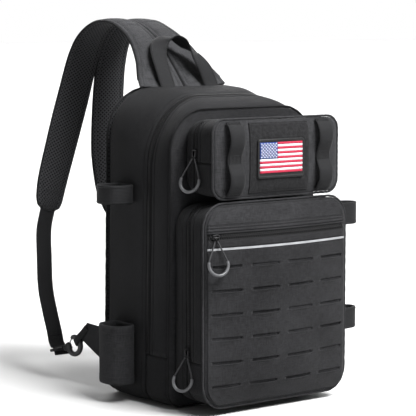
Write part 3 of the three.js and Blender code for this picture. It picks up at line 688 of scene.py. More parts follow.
# %% Tables of the compartments
Row = namedtuple("Row", "y half top across down foot lean base")
BODY = [
    Row(74, 124, 414, 64, 66, 24, 5, 5),
    Row(62, 128, 419, 67, 69, 24, 5, 0),
    Row(20, 129, 417.5, 76, 86, 24, 5, 0),
    Row(-22, 128, 409.5, 82, 98, 24, 5, 0),
    Row(-50, 127, 401, 64, 74, 22, 5, 0),
    Row(-66, 124.5, 390.5, 52, 56, 20, 5, 4),
]
POCKET = [
    Row(-68.6, 116, 268, 28, 28, 26, 0, 15),
    Row(-84, 119, 272, 30, 30, 28, 0, 12),
    Row(-102, 120, 273, 32, 30, 29, 0, 11.5),
    Row(-134, 119.5, 273, 30, 30, 30, 0, 12),
]
TOP_POCKET = [
    Row(-68.6, 97, 374, 20, 20, 14, 0, 290),
    Row(-82, 102, 379, 22, 22, 15, 0, 285),
    Row(-96, 103.5, 380.5, 22, 22, 15, 0, 282.5),
    Row(-134, 104, 380, 16, 16, 16, 0, 281.5),
]
MAIN_SEAM = 68
Compartment = namedtuple("Compartment", "table zip seam bulge")
COMPARTMENTS = {
    "main": Compartment(BODY, -22, MAIN_SEAM, 1.0),
    "pocket": Compartment(POCKET, -102, 69, 0.6),
    "top": Compartment(TOP_POCKET, -96, 326, 0.5),
}
for name, parts in COMPARTMENTS.items():
    print(name, "compartment:", 2 * parts.table[1].half, "mm wide, top at", parts.table[1].top)


# %% Outline at any depth
def eased(places, values, wanted):
    """A curve through the values that never swings past them."""
    gaps = np.diff(places)
    slopes = np.diff(values) / gaps
    same = slopes[1:] * slopes[:-1] > 0
    inner = np.where(same, 2 * slopes[1:] * slopes[:-1] / np.where(same, slopes[1:] + slopes[:-1], 1), 0)
    tangents = np.concatenate([[slopes[0]], inner, [slopes[-1]]])
    at = int(np.clip(np.searchsorted(places, wanted) - 1, 0, len(gaps) - 1))
    t = (wanted - places[at]) / gaps[at]
    leave, reach = tangents[at] * gaps[at], tangents[at + 1] * gaps[at]
    rise = values[at + 1] - values[at]
    return values[at] + t * (leave + t * (3 * rise - 2 * leave - reach + t * (leave + reach - 2 * rise)))


def section(table, y):
    columns = np.array(table[::-1], float).T
    held = float(np.clip(y, columns[0][0], columns[0][-1]))
    return Row(y, *(eased(columns[0], column, held) for column in columns[1:]))


def arc(x, z, across, down, start, end, count):
    angle = np.radians(np.linspace(start, end, count))
    return np.stack([x + across * np.cos(angle), z + down * np.sin(angle)], axis=1)


def line(start, end, count):
    share = np.linspace(0, 1, count)[:, None]
    return np.array(start) * (1 - share) + np.array(end) * share


def outline(row, part, seam, inset=0):
    """Points of a section in millimetres: from the bottom up the right side, over the top, down the left."""
    half, base, foot = row.half - inset, row.base + inset, row.foot - inset
    across, down = row.across - inset, row.down - inset
    shoulder, low = row.top - row.down, row.base + row.foot

    def side(z):
        return row.half - inset - row.lean * (z - low) / (shoulder - low), z

    bottom = [
        line((0, base), (half - foot, base), 14)[:-1],
        arc(half - foot, base + foot, foot, foot, -90, 0, 10)[:-1],
    ]
    top = [
        arc(half - row.lean - across, shoulder, across, down, 0, 90, 22)[:-1],
        line((half - row.lean - across, row.top - inset), (0, row.top - inset), 12),
    ]
    right = {
        "ring": [*bottom, line(side(low), side(shoulder), 40)[:-1], *top],
        "arch": [line(side(seam + 0.15), side(shoulder), 34)[:-1], *top],
        "base": [line(side(seam - 0.15), side(low), 10)[:-1], *(p[::-1] for p in bottom[::-1])],
    }[part]
    right = np.concatenate(right)
    left = right[::-1] * (-1, 1)
    return np.concatenate([right, left[1:-1] if part == "ring" else left[1:]])


# %% [markdown]
# ## Hems and seams in the cloth
#
# A sewn edge is never flat: the cloth rolls over the hem, dips under the stitches and then swells between
# the seams. A short profile says how high the cloth stands at each distance from its edge. Each wall is its
# outline pushed along its own normal by these profiles, with a soft unevenness on top. The cloth stays at
# or just inside the solids.

# %% Wall builder
ZIP_HEM = [
    (0, -1.7), (0.5, -0.5), (1.4, 0.35), (2.2, 0.4), (2.9, -0.15),
    (3.6, 0.4), (6.4, 0.35), (7.2, -0.75), (8.4, 0),
]
PIPED_HEM = [(-1.8, -2.4), (0, -0.9), (1.6, -0.1), (3.4, 0.25), (4.6, -0.6), (5.8, 0.25), (11, -0.1)]
PLAIN_HEM = [(0, -1.6), (1.2, -0.7), (3, -0.1), (8, 0)]
HEM_STITCH = {id(ZIP_HEM): 2.9, id(PIPED_HEM): 4.6}
NEAR_EDGE = [0, 0.4, 0.9, 1.4, 1.9, 2.4, 2.9, 3.4, 4, 4.6, 5.2, 5.8, 6.4, 6.8, 7.2, 7.7, 8.4, 11]
WALL = 2 * MM


def depths_between(hems):
    """Depths of a wall's rows, close together at its edges. A piped edge is tucked in under the piping."""
    (back, back_hem), (front, front_hem) = hems
    near = [d for d in NEAR_EDGE if d < (back - front) / 2]
    middle = np.arange(back - 16, front + 14, -6) if back - front > 34 else [(back + front) / 2]
    tucked = [back - back_hem[0][0], front + front_hem[0][0]]
    edges = {*(back - d for d in near), *(front + d for d in near)}
    return np.array(sorted(edges | {*map(float, middle), *tucked}, reverse=True))


def wall_surface(parts, part, depths, hems, ends=True):
    """Points and normals of a wall at the given depths, in metres."""
    table, seam, bulge = parts.table, parts.seam, parts.bulge
    back, front = hems[0][0], hems[1][0]
    rings = np.stack([outline(section(table, y), part, seam) for y in depths], axis=1)
    points = np.stack([rings[..., 0], np.broadcast_to(depths, rings.shape[:2]), rings[..., 1]], axis=-1)
    if len(depths) > 1:
        normals = facing(points, loop_rows=part == "ring")
    else:
        nearby = np.stack([outline(section(table, depths[0] + s), part, seam) for s in (1, -1)], axis=1)
        either_side = np.broadcast_to((depths[0] + 1, depths[0] - 1), nearby.shape[:2])
        beside = np.stack([nearby[..., 0], either_side, nearby[..., 1]], -1)
        normals = facing(beside, loop_rows=part == "ring").mean(axis=1, keepdims=True)
    middle = np.array([0, 0, (table[1].top + table[1].base) / 2])
    if ((points - middle) * normals)[..., [0, 2]].sum() < 0:
        normals = -normals
    lift = np.zeros(len(depths))
    for (edge, hem), away in zip(hems, (back - depths, depths - front)):
        lift += np.interp(away, *zip(*hem))
    share = np.clip((back - depths) / (back - front), 0, 1)
    lift = lift[None, :] + bulge * (4 * share * (1 - share) - 1)[None, :]
    lift = lift + 0.45 * bulge * (ripple(points, 120, 11) - 1) + 0.2 * (ripple(points, 38, 5) - 1)
    if part != "ring" and ends:
        so_far = lengths_along(points[:, 0])
        from_end = np.minimum(so_far, so_far[-1] - so_far)
        lift = lift + np.interp(from_end, [0, 0.8, 4], [-1.0, -0.1, 0])[:, None]
    return (points + normals * lift[..., None]) * MM, normals


def wall(name, parts, part, hems, finish, *solids):
    depths = depths_between(hems)
    points, normals = wall_surface(parts, part, depths, hems)
    if (facing(points, loop_rows=part == "ring") * normals).sum() < 0:
        points = points[:, ::-1]
    made = grid_piece(name, points, finish, loop_rows=part == "ring", thick=WALL)
    wear(made, "nylon", *solids)
    print(name, "-", len(made.data.polygons), "faces")
    lines = []
    for (edge, hem), step in zip(hems, (-1, 1)):
        if id(hem) in HEM_STITCH:
            at, up = wall_surface(parts, part, np.array([edge + step * HEM_STITCH[id(hem)]]), hems)
            lines.append((at[:, 0], up[:, 0]))
    return lines


# %% Walls of the three compartments
ZIP_HALF = 4
seams = {name: [] for name in COMPARTMENTS}
for name, parts in COMPARTMENTS.items():
    back, front = parts.table[0].y, parts.table[-1].y
    at_back = PIPED_HEM if name == "main" else PLAIN_HEM
    rear = ((back, at_back), (parts.zip + ZIP_HALF, ZIP_HEM))
    fore = ((parts.zip - ZIP_HALF, ZIP_HEM), (front, PIPED_HEM))
    low = ((parts.zip + ZIP_HALF - 0.3, PLAIN_HEM), (front, PIPED_HEM))
    # The walls wear the darker copy of the cloth, which is painted shade.
    seams[name] += wall(f"{name}_rear_wall", parts, "ring", rear, painted_shade_nylon, f"{name}_gusset_rear")
    seams[name] += wall(f"{name}_front_band", parts, "arch", fore, painted_shade_nylon, f"{name}_gusset_front")
    seams[name] += wall(f"{name}_base", parts, "base", low, painted_shade_nylon, f"{name}_gusset_base")

# %% [markdown]
# ## Zips
#
# Each zip is a tape sunk a little below the hems, with two staggered rows of moulded teeth along its
# middle. The tape is a narrow grid over the same outline. The teeth are the small pegs from above, laid
# across the zip at the pitch of a common coil.

# %% Zip tapes and teeth
TOOTH_PITCH = 1.7 * MM
TAPE_RISE = [(-3.7, -1.9), (-2.6, -1.7), (-1.2, -1.2), (0, -1.1), (1.2, -1.2), (2.6, -1.7), (3.7, -1.9)]
TAPE = 1.3 * MM


def zip_teeth(name, route, normals, half=1.0 * MM):
    """Two rows of teeth, each leaning over the middle from its own side."""
    middles, along, up = spaced(route, normals, TOOTH_PITCH)
    side = unit(np.cross(up, along))
    shift = np.where(np.arange(len(middles)) % 2, half, -half)[:, None]
    made = pegs(name, middles + side * shift, side, up, 4.2 * MM, 0.8 * MM, coil_plastic, squash=0.8)
    print(name, "-", len(middles), "teeth")
    return wear(made, "zip")


def flat_hems(parts):
    return (parts.table[0].y, [(0, 0)]), (parts.table[-1].y, [(0, 0)])


for name, parts in COMPARTMENTS.items():
    places, rises = zip(*TAPE_RISE)
    depths = parts.zip - np.array(places)
    still = parts._replace(bulge=0)
    points, normals = wall_surface(still, "arch", depths, flat_hems(parts), ends=False)
    points = points + normals * np.array(rises)[None, :, None] * MM
    if (facing(points) * normals).sum() < 0:
        points = points[:, ::-1]
    wear(grid_piece(f"{name}_zip_tape", points, zip_tape, thick=TAPE), "zip", f"{name}_zip")
    middle, up = wall_surface(still, "arch", np.array([float(parts.zip)]), flat_hems(parts), ends=False)
    zip_teeth(f"{name}_zip_teeth", middle[:, 0] - up[:, 0] * 0.9 * MM, up[:, 0])

# %% [markdown]
# ## Piping
#
# The front edges and the back edge are piped: a cord inside a folded strip of cloth, sewn into the seam. It
# catches a thin bright line of light in the photograph, which draws the bag's outline. On the pockets the
# piping is also a lighter copy of the cloth, a painted highlight. A round section swept along the same
# outline makes it, with the slight twist wrinkles of cloth wrapped round a cord.

# %% Piped edges
PIPING_RADIUS = 1.6


def piped_edge(name, parts, y, slide, finish, *solids):
    ring = outline(section(parts.table, y), "ring", parts.seam, inset=-PIPING_RADIUS - 0.1) * MM
    route = np.stack([ring[:, 0], np.full(len(ring), (y + slide) * MM), ring[:, 1]], axis=1)
    closed = np.vstack([route, route[:1]])
    route = even_route(closed, 361)[:-1]
    along = unit(np.roll(route, -1, 0) - np.roll(route, 1, 0))
    across = np.broadcast_to((0.0, 1.0, 0.0), route.shape)
    out = unit(np.cross(along, across))
    turn = full_turn(12)
    spoke = spokes(across, out, turn)
    at = route[:, None] + spoke * PIPING_RADIUS * MM
    wrinkle = 0.12 * np.sin(turn[None] + 1.35 * np.arange(len(route))[:, None])
    radius = (PIPING_RADIUS - 0.12 + wrinkle + 0.08 * ripple(at, 0.02, 21)) * MM
    points = route[:, None] + spoke * radius[..., None]
    if (facing(points, loop_rows=True, loop_columns=True) * spoke).sum() < 0:
        points = points[:, ::-1]
    made = grid_piece(name, points, finish, loop_rows=True, loop_columns=True)
    print(name, "-", round(lengths_along(closed)[-1], 3), "m long")
    return wear(made, "nylon", *solids)


piped_edge("main_front_piping", COMPARTMENTS["main"], -66, -1.6, binding, "main_piping")
piped_edge("main_back_piping", COMPARTMENTS["main"], 74, 1.6, binding, "back_piping")
# The pockets' piping wears the lighter copy of the cloth, a painted highlight.
piped_edge("pocket_front_piping", COMPARTMENTS["pocket"], -134, -1.6, painted_highlight_piping_cloth, "pocket_piping")
piped_edge("top_front_piping", COMPARTMENTS["top"], -134, -1.6, painted_highlight_piping_cloth, "top_piping")

# %% Sew the walls
for name, lines in seams.items():
    sew(f"{name}_wall_stitches", lines, thread)

# %% [markdown]
# ## Front panels
#
# The pockets stand on a plain panel of cloth with the outline of the main compartment. Only its border
# shows, as a dark frame round the pockets, but it is a whole panel here too. Rows of points across the
# outline make it, each row as wide as the outline is at that height.

# %% Panel behind the pockets
FRONT_PLANE = -68.3


def crowded(count):
    """Places from -1 to 1, closer together towards both ends."""
    return np.sin(np.linspace(-math.pi / 2, math.pi / 2, count))


def crowded_heights(row, count):
    return (row.top + row.base) / 2 + (row.top - row.base) / 2 * crowded(count)


def outline_half(row, heights):
    ring = outline(row, "ring", MAIN_SEAM)
    right = ring[ring[:, 0] >= 0]
    right = right[np.argsort(right[:, 1], kind="stable")]
    lowest = right[right[:, 1] < row.base + 0.01][:, 0].max()
    highest = right[right[:, 1] > row.top - 0.01][:, 0].max()
    inside = right[(right[:, 1] > row.base + 0.01) & (right[:, 1] < row.top - 0.01)]
    heights_known = np.concatenate([[row.base], inside[:, 1], [row.top]])
    return np.interp(heights, heights_known, np.concatenate([[lowest], inside[:, 0], [highest]]))


front_row = BODY[-1]
heights = crowded_heights(front_row, 70)
spread = crowded(41)
widths = outline_half(front_row, heights)
coordinates = np.broadcast_arrays(widths[:, None] * spread[None], FRONT_PLANE, heights[:, None])
flat_front = np.stack(coordinates, axis=-1)
flat_front[..., 1] += 0.35 * (1 - ripple(flat_front, 90, 3))
made = grid_piece("main_front_panel", flat_front[:, ::-1] * MM, nylon, thick=1.5 * MM)
if facing(flat_front[:, ::-1])[35, 20, 1] > 0:
    made.data.flip_normals()
wear(made, "nylon", "main_front")
print("front panel:", len(made.data.polygons), "faces")

# %% [markdown]
# ## The lower pocket's face
#
# This face swells out in the middle and carries four things: the laser-cut skin at the bottom, a thin
# reflective strip, a slash zip and a plain cover above it. They are sheets on one curved face, so one
# function lays any of them: it takes the heights, the widths and how far each point stands off the face.

# %% Sheet on a pocket's face
def face_half(face, z):
    beyond = np.maximum(np.maximum(face.bottom + face.corner - z, z - face.top + face.corner), 0)
    return face.half - face.corner + np.sqrt(np.maximum(face.corner**2 - beyond**2, 0))


def face_points(face, heights, shares, offset, inset=0.0, limit=1e3):
    """A grid on a face in millimetres. Rows go up, columns from left to right by shares of the half width."""
    z = np.asarray(heights, float)[:, None]
    half = np.minimum(face_half(face, z) - inset, limit)
    x = half * np.asarray(shares, float)[None, :]
    z = np.broadcast_to(z, x.shape)
    return np.stack([x, face_depth(face, x, z) - offset, z], axis=-1)


def face_sheet(name, points, finish, thick, keep=None, finishes=None, finish_of=None):
    """A sheet with its outer side at the points, facing the front, less the cells that are cut away."""
    rows, columns = points.shape[:2]
    faces = grid_faces(rows, columns)
    if keep is not None:
        faces = faces[keep.ravel()]
    uv = unrolled(faces, flat_measure(points * MM))
    made = piece(name, points * MM, faces[:, ::-1], uv[:, ::-1], finishes or [finish], finish_of)
    thicken(made, thick * MM)
    return made


def between(start, end, step):
    return np.linspace(start, end, max(2, int(round(abs(end - start) / step)) + 1))


def corner_rows(face):
    """Heights of a whole face, closer together where its corners are round."""
    corner = face.corner * (1 - np.cos(np.linspace(0, math.pi / 2, 9)))
    straight = between(face.bottom + face.corner, face.top - face.corner, 9)
    return np.unique(np.concatenate([face.bottom + corner, straight, face.top - corner]).round(4))


across = np.linspace(-1, 1, 41)
points = face_points(POCKET_FACE, corner_rows(POCKET_FACE), across, 2.8)
made = wear(face_sheet("pocket_face", points, nylon, 1.9), "nylon", "pocket_front")
print("lower pocket's face:", len(made.data.polygons), "faces")

# %% [markdown]
# ## The laser-cut skin
#
# The lower skin has rows of slots right through it, to hang things on. A boolean would cut them, but a
# grid whose lines already run along the slots is cleaner: the cells inside a slot are left out, and the
# ends are drawn round. The lower lip of each slot hangs out a little, which gives the light line under
# every slot in the photograph.

# %% Slotted skin
SLOT_ROWS, SLOT_COLUMNS = 6, 4
SLOT_HALF, SLOT_TALL = 21.5, 1.8
SLOT_X = [(i - (SLOT_COLUMNS - 1) / 2) * 59 for i in range(SLOT_COLUMNS)]
SLOT_Z = [39.5 + 31 * i for i in range(SLOT_ROWS)]
SKIN_OFFSET, SKIN, SKIN_INSET, SKIN_HALF = 3.9, 0.8, 3.0, 116.5
SKIN_TOP = 214.7
SKIN_EDGE = np.array([112.5, 114.5, SKIN_HALF])
LIP_FADE, LIP_OUT, LIP_DROP = 3.0, 1.6, 0.5
slot_steps_x = [0, 4, 8, 12, 16, 19.7, 21.5, 25, 29.5]
slot_steps_z = [0, 0.9, 1.8, 2.6, 4, 6, 9, 12.5, 15.5]
columns = np.unique(np.round([c + s * d for c in SLOT_X for d in slot_steps_x for s in (-1, 1)], 3))
columns = np.concatenate([-SKIN_EDGE[::-1], columns[abs(columns) < 112], SKIN_EDGE])
heights = np.unique(np.round([c + s * d for c in SLOT_Z for d in slot_steps_z for s in (-1, 1)], 3))
corner = 15 + 27 * (1 - np.cos(np.linspace(0, math.pi / 2, 8)))
upright = heights[(heights > 30) & (heights < 211)]
heights = np.unique(np.concatenate([corner[corner < 31], upright, [213.5, SKIN_TOP]]))
skin = face_points(POCKET_FACE, heights, columns / SKIN_HALF, SKIN_OFFSET, SKIN_INSET)
cut = np.zeros((len(heights) - 1, len(columns) - 1), bool)
mid_z, mid_x = (heights[1:] + heights[:-1]) / 2, (columns[1:] + columns[:-1]) / 2
push = 0.45 * (ripple(skin, 70, 8) + 0.4)
for cz in SLOT_Z:
    for cx in SLOT_X:
        cut |= (abs(mid_z - cz) < SLOT_TALL)[:, None] & (abs(mid_x - cx) < SLOT_HALF)[None]
        dx, dz = (columns - cx)[None, :], (heights - cz)[:, None]
        end = (abs(abs(dx) - SLOT_HALF) < 0.01) & (abs(dz) < SLOT_TALL + 0.01)
        angle = np.radians(67.5) * dz / SLOT_TALL
        round_x = cx + np.sign(dx) * (SLOT_HALF - SLOT_TALL + SLOT_TALL * np.cos(angle))
        skin[..., 0] = np.where(end, round_x, skin[..., 0])
        skin[..., 2] = np.where(end, cz + SLOT_TALL * np.sin(angle), skin[..., 2])
        middle = np.clip(1 - (dx / SLOT_HALF) ** 2, 0, 1)
        lip = middle * np.exp(-np.maximum(abs(dz) - SLOT_TALL, 0) / LIP_FADE)
        push = push + lip * np.where(dz < 0, LIP_OUT, 0.1)
        skin[..., 2] -= np.where((dz < 0) & (abs(dz) < 9), LIP_DROP * lip, 0)
skin[..., 1] -= push
made = face_sheet("slotted_skin", skin, laminate, SKIN, keep=~cut)
wear(made, "nylon", "slotted_panel")
print("slots:", SLOT_ROWS * SLOT_COLUMNS, "faces:", len(made.data.polygons))

# %% [markdown]
# ## Reflective strip, slash zip and cover
#
# Above the skin a narrow silver strip is sewn on, then the slash zip between two folded edges, then the
# cover, whose lower hem is held by two rows of stitches. Each is a sheet with a height profile: a fold
# stands up, and the zip's tape lies in the valley between two folds.

# %% Strip
STRIP_ROWS = [(215, 0), (215.5, 0.3), (215.9, 0.35), (217.3, 0.55), (218.7, 0.35), (219, 0.3), (219.4, 0)]
strip_heights, strip_lift = map(np.array, zip(*STRIP_ROWS))
strip = face_points(POCKET_FACE, strip_heights, across, SKIN_OFFSET, SKIN_INSET)
strip[..., 1] -= strip_lift[:, None]
silver = np.repeat((strip_heights[:-1] > 215.6) & (strip_heights[1:] < 218.8), len(across) - 1)
made = face_sheet("reflective_band", strip, None, 0.9, finishes=[laminate, reflective], finish_of=silver)
wear(made, "reflective", "reflective_strip")
print("reflective strip:", round(strip_heights[-1] - strip_heights[0], 1), "mm tall with its edges")

# %% Slash zip
SLASH_PROFILE = [
    (219.7, -0.2), (220.3, 0.25), (221, 0.3), (224, 0.25), (226.4, 0.35), (227.2, -0.1),
    (228, 0.4), (228.8, 0.35), (229.3, -0.6), (230.5, -0.9), (233, -0.7), (235.5, -0.9),
    (236.7, -0.6), (237.2, 0.35), (238.2, 0.5), (239.4, 0.1),
]
zip_heights, zip_lift = map(np.array, zip(*SLASH_PROFILE))
slash = face_points(POCKET_FACE, zip_heights, across, SKIN_OFFSET, SKIN_INSET)
slash[..., 1] -= zip_lift[:, None]
in_tape = np.repeat((zip_heights[:-1] > 228.5) & (zip_heights[1:] < 237.3), len(across) - 1)
made = face_sheet("slash_zip_panel", slash, None, 0.9, finishes=[laminate, zip_tape], finish_of=in_tape)
wear(made, "zip", "slash_zip")


def face_line(face, z, offset, inset):
    """A line across a face at one height with its normals, in metres."""
    near = face_points(face, [z - 0.5, z, z + 0.5], np.linspace(-1, 1, 121), offset, inset) * MM
    up = facing(near)[1]
    return near[1], np.where((up[:, 1] > 0)[:, None], -up, up)


route, up = face_line(POCKET_FACE, SLASH_LINE, SKIN_OFFSET - 0.5, SKIN_INSET + 2)
zip_teeth("slash_zip_teeth", route, up)

# %% Cover above the slash zip
COVER_PROFILE = [
    (239.7, -0.3), (240.1, 0.6), (240.8, 1.0), (241.8, 1.0), (242.8, 0.75), (243.6, -0.25),
    (244.4, 0.8), (245.4, 1.0), (246.4, 0.75), (247.2, -0.3), (248, 0.65), (250, 0.6), (253, 0.5),
    (256.5, 0.45), (260, 0.4), (263.5, 0.3), (266.5, 0.2), (268.8, 0), (270, -0.4),
]
cover_heights, cover_lift = map(np.array, zip(*COVER_PROFILE))
cover = face_points(POCKET_FACE, cover_heights, np.linspace(-1, 1, 81), SKIN_OFFSET, SKIN_INSET)
cover[..., 1] -= cover_lift[:, None] + 0.2 * (ripple(cover, 60, 6) - 1)
made = face_sheet("slash_cover_cloth", cover, nylon, 1.6)
wear(made, "nylon", "slash_cover")
lines = [face_line(POCKET_FACE, z, SKIN_OFFSET - 0.2, SKIN_INSET + 1) for z in (243.6, 247.2)]
lines += [face_line(POCKET_FACE, 227.2, SKIN_OFFSET, SKIN_INSET + 1)]
sew("pocket_face_stitches", lines, thread, thread=0.5 * MM)

# %% [markdown]
# ## The upper pocket's face
#
# This face carries a field of loop pile for patches, with webbing on both sides of it. It is the same kind
# of sheet as below. The pile is sewn down round its edge, so it dips there and its middle stands a little
# proud.

# %% Face and pile field
points = face_points(TOP_FACE, corner_rows(TOP_FACE), across, 2.0)
# The face wears the lighter copy of the cloth, which is painted light.
wear(face_sheet("top_face", points, painted_light_face_cloth, 1.9), "nylon", "top_front")

PILE_HALF, PILE_LOW, PILE_HIGH = 50, 285, 376.5
PILE_SEAM_IN = 2.2
edge_steps = [0, 0.6, 1.4, PILE_SEAM_IN, 3, 4]
ends = [PILE_LOW + d for d in edge_steps] + [PILE_HIGH - d for d in edge_steps]
pile_heights = np.unique([*ends, *between(PILE_LOW + 8, PILE_HIGH - 8, 5)])
sides = [-1 + d / PILE_HALF for d in edge_steps] + [1 - d / PILE_HALF for d in edge_steps]
pile_across = np.unique([*sides, *np.linspace(-0.85, 0.85, 24)])
pile = face_points(TOP_FACE, pile_heights, pile_across, 2.4, limit=PILE_HALF)
from_end = np.minimum(pile[..., 2] - PILE_LOW, PILE_HIGH - pile[..., 2])
from_edge = np.minimum(PILE_HALF - abs(pile[..., 0]), from_end)
pile[..., 1] -= np.interp(from_edge, [*edge_steps, 12], [0.2, 0.7, 0.8, 0.45, 0.85, 0.95, 0.9])
wear(face_sheet("pile_field", pile, loop_pile, 0.7), "loop_pile", "loop_field")


def on_top_face(x, z, lift):
    """A point on the upper pocket's face in millimetres, standing off it."""
    x, z = np.broadcast_arrays(np.asarray(x, float), np.asarray(z, float))
    return np.stack([x, face_depth(TOP_FACE, x, z) - lift, z], axis=-1)


def top_route(x, z, lift, count):
    route = even_route(on_top_face(x, z, lift) * MM, count)
    return route, np.broadcast_to((0.0, -1.0, 0.0), route.shape)


edge = [(-1, -1), (1, -1), (1, 1), (-1, 1), (-1, -1)]
pile_middle = (PILE_LOW + PILE_HIGH) / 2
seam_half = (PILE_HALF - PILE_SEAM_IN, (PILE_HIGH - PILE_LOW) / 2 - PILE_SEAM_IN)
run = np.concatenate([line(a, b, 30) for a, b in zip(edge[:-1], edge[1:])])
border = top_route(run[:, 0] * seam_half[0], pile_middle + run[:, 1] * seam_half[1], 2.75, 400)
sew("pile_stitches", [border], thread)
print("pile field:", 2 * PILE_HALF, "by", PILE_HIGH - PILE_LOW, "mm")

# %% [markdown]
# ## Webbing loops beside the pile
#
# Two upright strips of webbing stand off the face in a pair of loops each, held at the top, the bottom and
# by bar tacks in the middle. A flat band swept along the same wave as the solids makes them. Webbing has
# rounded selvedges, so its section is a rounded slab and not a plain rectangle. Bar tacks are rows of close
# stitches across the band.

# %% Band section and sweep
def band_section(width, thick, columns=9, curl=0.0):
    """A closed rounded slab, first its outer side from left to right and then its inner side back."""
    side = np.linspace(-1, 1, columns)
    half = thick / 2 * np.sqrt(np.clip(1 - np.clip((abs(side) - 0.9) / 0.1, 0, 1) ** 2 * 0.8, 0, 1))
    bow = curl * (1 - side**2)
    outer = np.stack([side * width / 2, half + bow], axis=1)
    inner = np.stack([side * width / 2, -half + bow], axis=1)[::-1]
    return np.concatenate([outer, inner])


def frame_of(route, lead, loop=False):
    """Directions along, across and out of a band, from a direction that its width keeps to."""
    if loop:
        along = unit(np.roll(route, -1, 0) - np.roll(route, 1, 0))
    else:
        along = unit(np.gradient(route, axis=0))
    lead = np.broadcast_to(np.asarray(lead, float), route.shape)
    across = unit(lead - along * (along * lead).sum(axis=1, keepdims=True))
    return along, across, np.cross(across, along)


def swept(route, across, out, sections):
    sections = np.broadcast_to(sections, (len(route), *np.shape(sections)[-2:]))
    return route[:, None] + across[:, None] * sections[..., :1] + out[:, None] * sections[..., 1:]


WEB_STRIP = [
    (378, 0), (372, 3.6), (362, 6.6), (350, 6.2), (340, 2.2), (334, 0),
    (326, 0), (320, 2.2), (310, 6.2), (299, 6.6), (290, 3.6), (284, 0),
]
STRIP_X, STRIP_WIDTH, STRIP_INNER, STRIP_OFF = 75, 24, 63, 3.9


def bar_tack(route, across, out, places, width, lift, rows_apart=1.3 * MM):
    """Lines of close stitches across a band at some places along it, three close rows at each."""
    so_far = lengths_along(route)
    lines = []
    for place in places:
        for step in (-rows_apart, 0, rows_apart):
            at, side, up = (at_lengths(place + step, so_far, values) for values in (route, across, out))
            ends = np.linspace(-0.5, 0.5, 12)[:, None] * width
            lines.append((at + side * ends + up * lift, np.broadcast_to(up, (12, 3))))
    return lines


tacks = []
for name, x in (("left", -STRIP_X), ("right", STRIP_X)):
    table = [(x, face_depth(TOP_FACE, STRIP_INNER, z) - STRIP_OFF - lift, z) for z, lift in WEB_STRIP]
    route = smooth_route(table, 121) * MM
    along, across_band, out = frame_of(route, (1, 0, 0))
    if out[0, 1] > 0:
        out = -out
    band = swept(route, across_band, out, band_section(STRIP_WIDTH * MM, 1.6 * MM, curl=0.35 * MM))
    wear(capped(f"webbing_strip_{name}", band, [webbing]), "webbing", f"web_strip_{name}")
    total = lengths_along(route)[-1]
    places = [0.003, total * 0.462, total * 0.5, total * 0.538, total - 0.003]
    tacks += bar_tack(route, across_band, out, places, (STRIP_WIDTH - 4) * MM, 1.15 * MM)
sew("strip_bar_tacks", tacks, thread, pitch=2.2 * MM, thread=0.5 * MM)

# %% [markdown]
# ## The flag patch
#
# A flag patch of the common size sits on the pile: stripes and a field of stars in satin stitch on a black
# backing with a raised moulded rim. It could be painted on one plate, but each stripe is its own band of
# raised thread on a real patch, and the light shows it. So the stripes, the field and the stars are thin
# pieces on the plate.

# %% Thread colours of the patch
def satin_finish(name, colour):
    satin = Finish(name, colour, 0.5, Sheen_Weight=0.03, Specular_IOR_Level=0.2)
    strands = satin.wave(satin.flat_place()[0], 0.7 * MM)
    fibre = satin.noise(satin.place(), 1800.0, 2.0)
    satin.colour(satin.mix(satin.math("MULTIPLY", fibre, 0.9), shade(colour, 0.72), shade(colour, 1.18)))
    satin.rough(satin.ramp(fibre, 0.42, 0.66, 0.3, 0.7))
    satin.bump(satin.math("ADD", strands, fibre), 0.12 * MM, 0.6)
    return satin.material


red_thread = satin_finish("red_thread", (0.36, 0.012, 0.04))
white_thread = satin_finish("white_thread", (0.55, 0.55, 0.57))
blue_thread = satin_finish("blue_thread", (0.004, 0.028, 0.16))
patch_rim = moulded_finish("patch_rim", (0.007, 0.007, 0.0075), 0.45, Specular_IOR_Level=0.25)
print("patch finishes:", red_thread.name, white_thread.name, blue_thread.name, patch_rim.name)

# %% Backing and rim
PATCH_HALF, PATCH_LOW, PATCH_HIGH = 39.5, 304, 355
PATCH_CORNER = 4.5


def rounded_box(half, low, high, corner, count=9):
    """Corner points of a rounded box seen from the front, once round."""
    turns = [
        (half - corner, low + corner, -90),
        (half - corner, high - corner, 0),
        (corner - half, high - corner, 90),
        (corner - half, low + corner, 180),
    ]
    return np.concatenate([arc(x, z, corner, corner, start, start + 90, count) for x, z, start in turns])


rim_steps = [(0, 3.65), (0, 4.9), (0.4, 5.45), (1.0, 5.75), (1.9, 5.8), (2.7, 5.6), (3.1, 5.15), (3.6, 5.05)]
rings = []
for inset, lift in rim_steps:
    ring_corner = max(PATCH_CORNER - inset, 0.8)
    ring = rounded_box(PATCH_HALF - inset, PATCH_LOW + inset, PATCH_HIGH - inset, ring_corner)
    rings.append(on_top_face(ring[:, 0], ring[:, 1], lift))
rings = np.stack(rings)
count = rings.shape[1]
faces = grid_faces(len(rings), count, loop_columns=True).tolist()
faces += [list(range(count)), list(range((len(rings) - 1) * count, len(rings) * count))[::-1]]
backing = piece("patch_backing", rings * MM, faces, finishes=[patch_rim])
turn_outwards(backing, rings, faces)
wear(backing, "embroidery", "patch")
print("patch:", 2 * PATCH_HALF, "by", PATCH_HIGH - PATCH_LOW, "mm")

# %% Stripes, field and stars
FLAG_HALF, FLAG_LOW, FLAG_HIGH = 36.0, 310.8, 350.7
STRIPES = 13
CANTON_RIGHT, CANTON_STRIPES = -7.2, 7
SATIN_LIFT, SATIN_GAP = 5.15, 0.06
STAR_LEVELS = (5.4, 5.75)
stripe_tall = (FLAG_HIGH - FLAG_LOW) / STRIPES


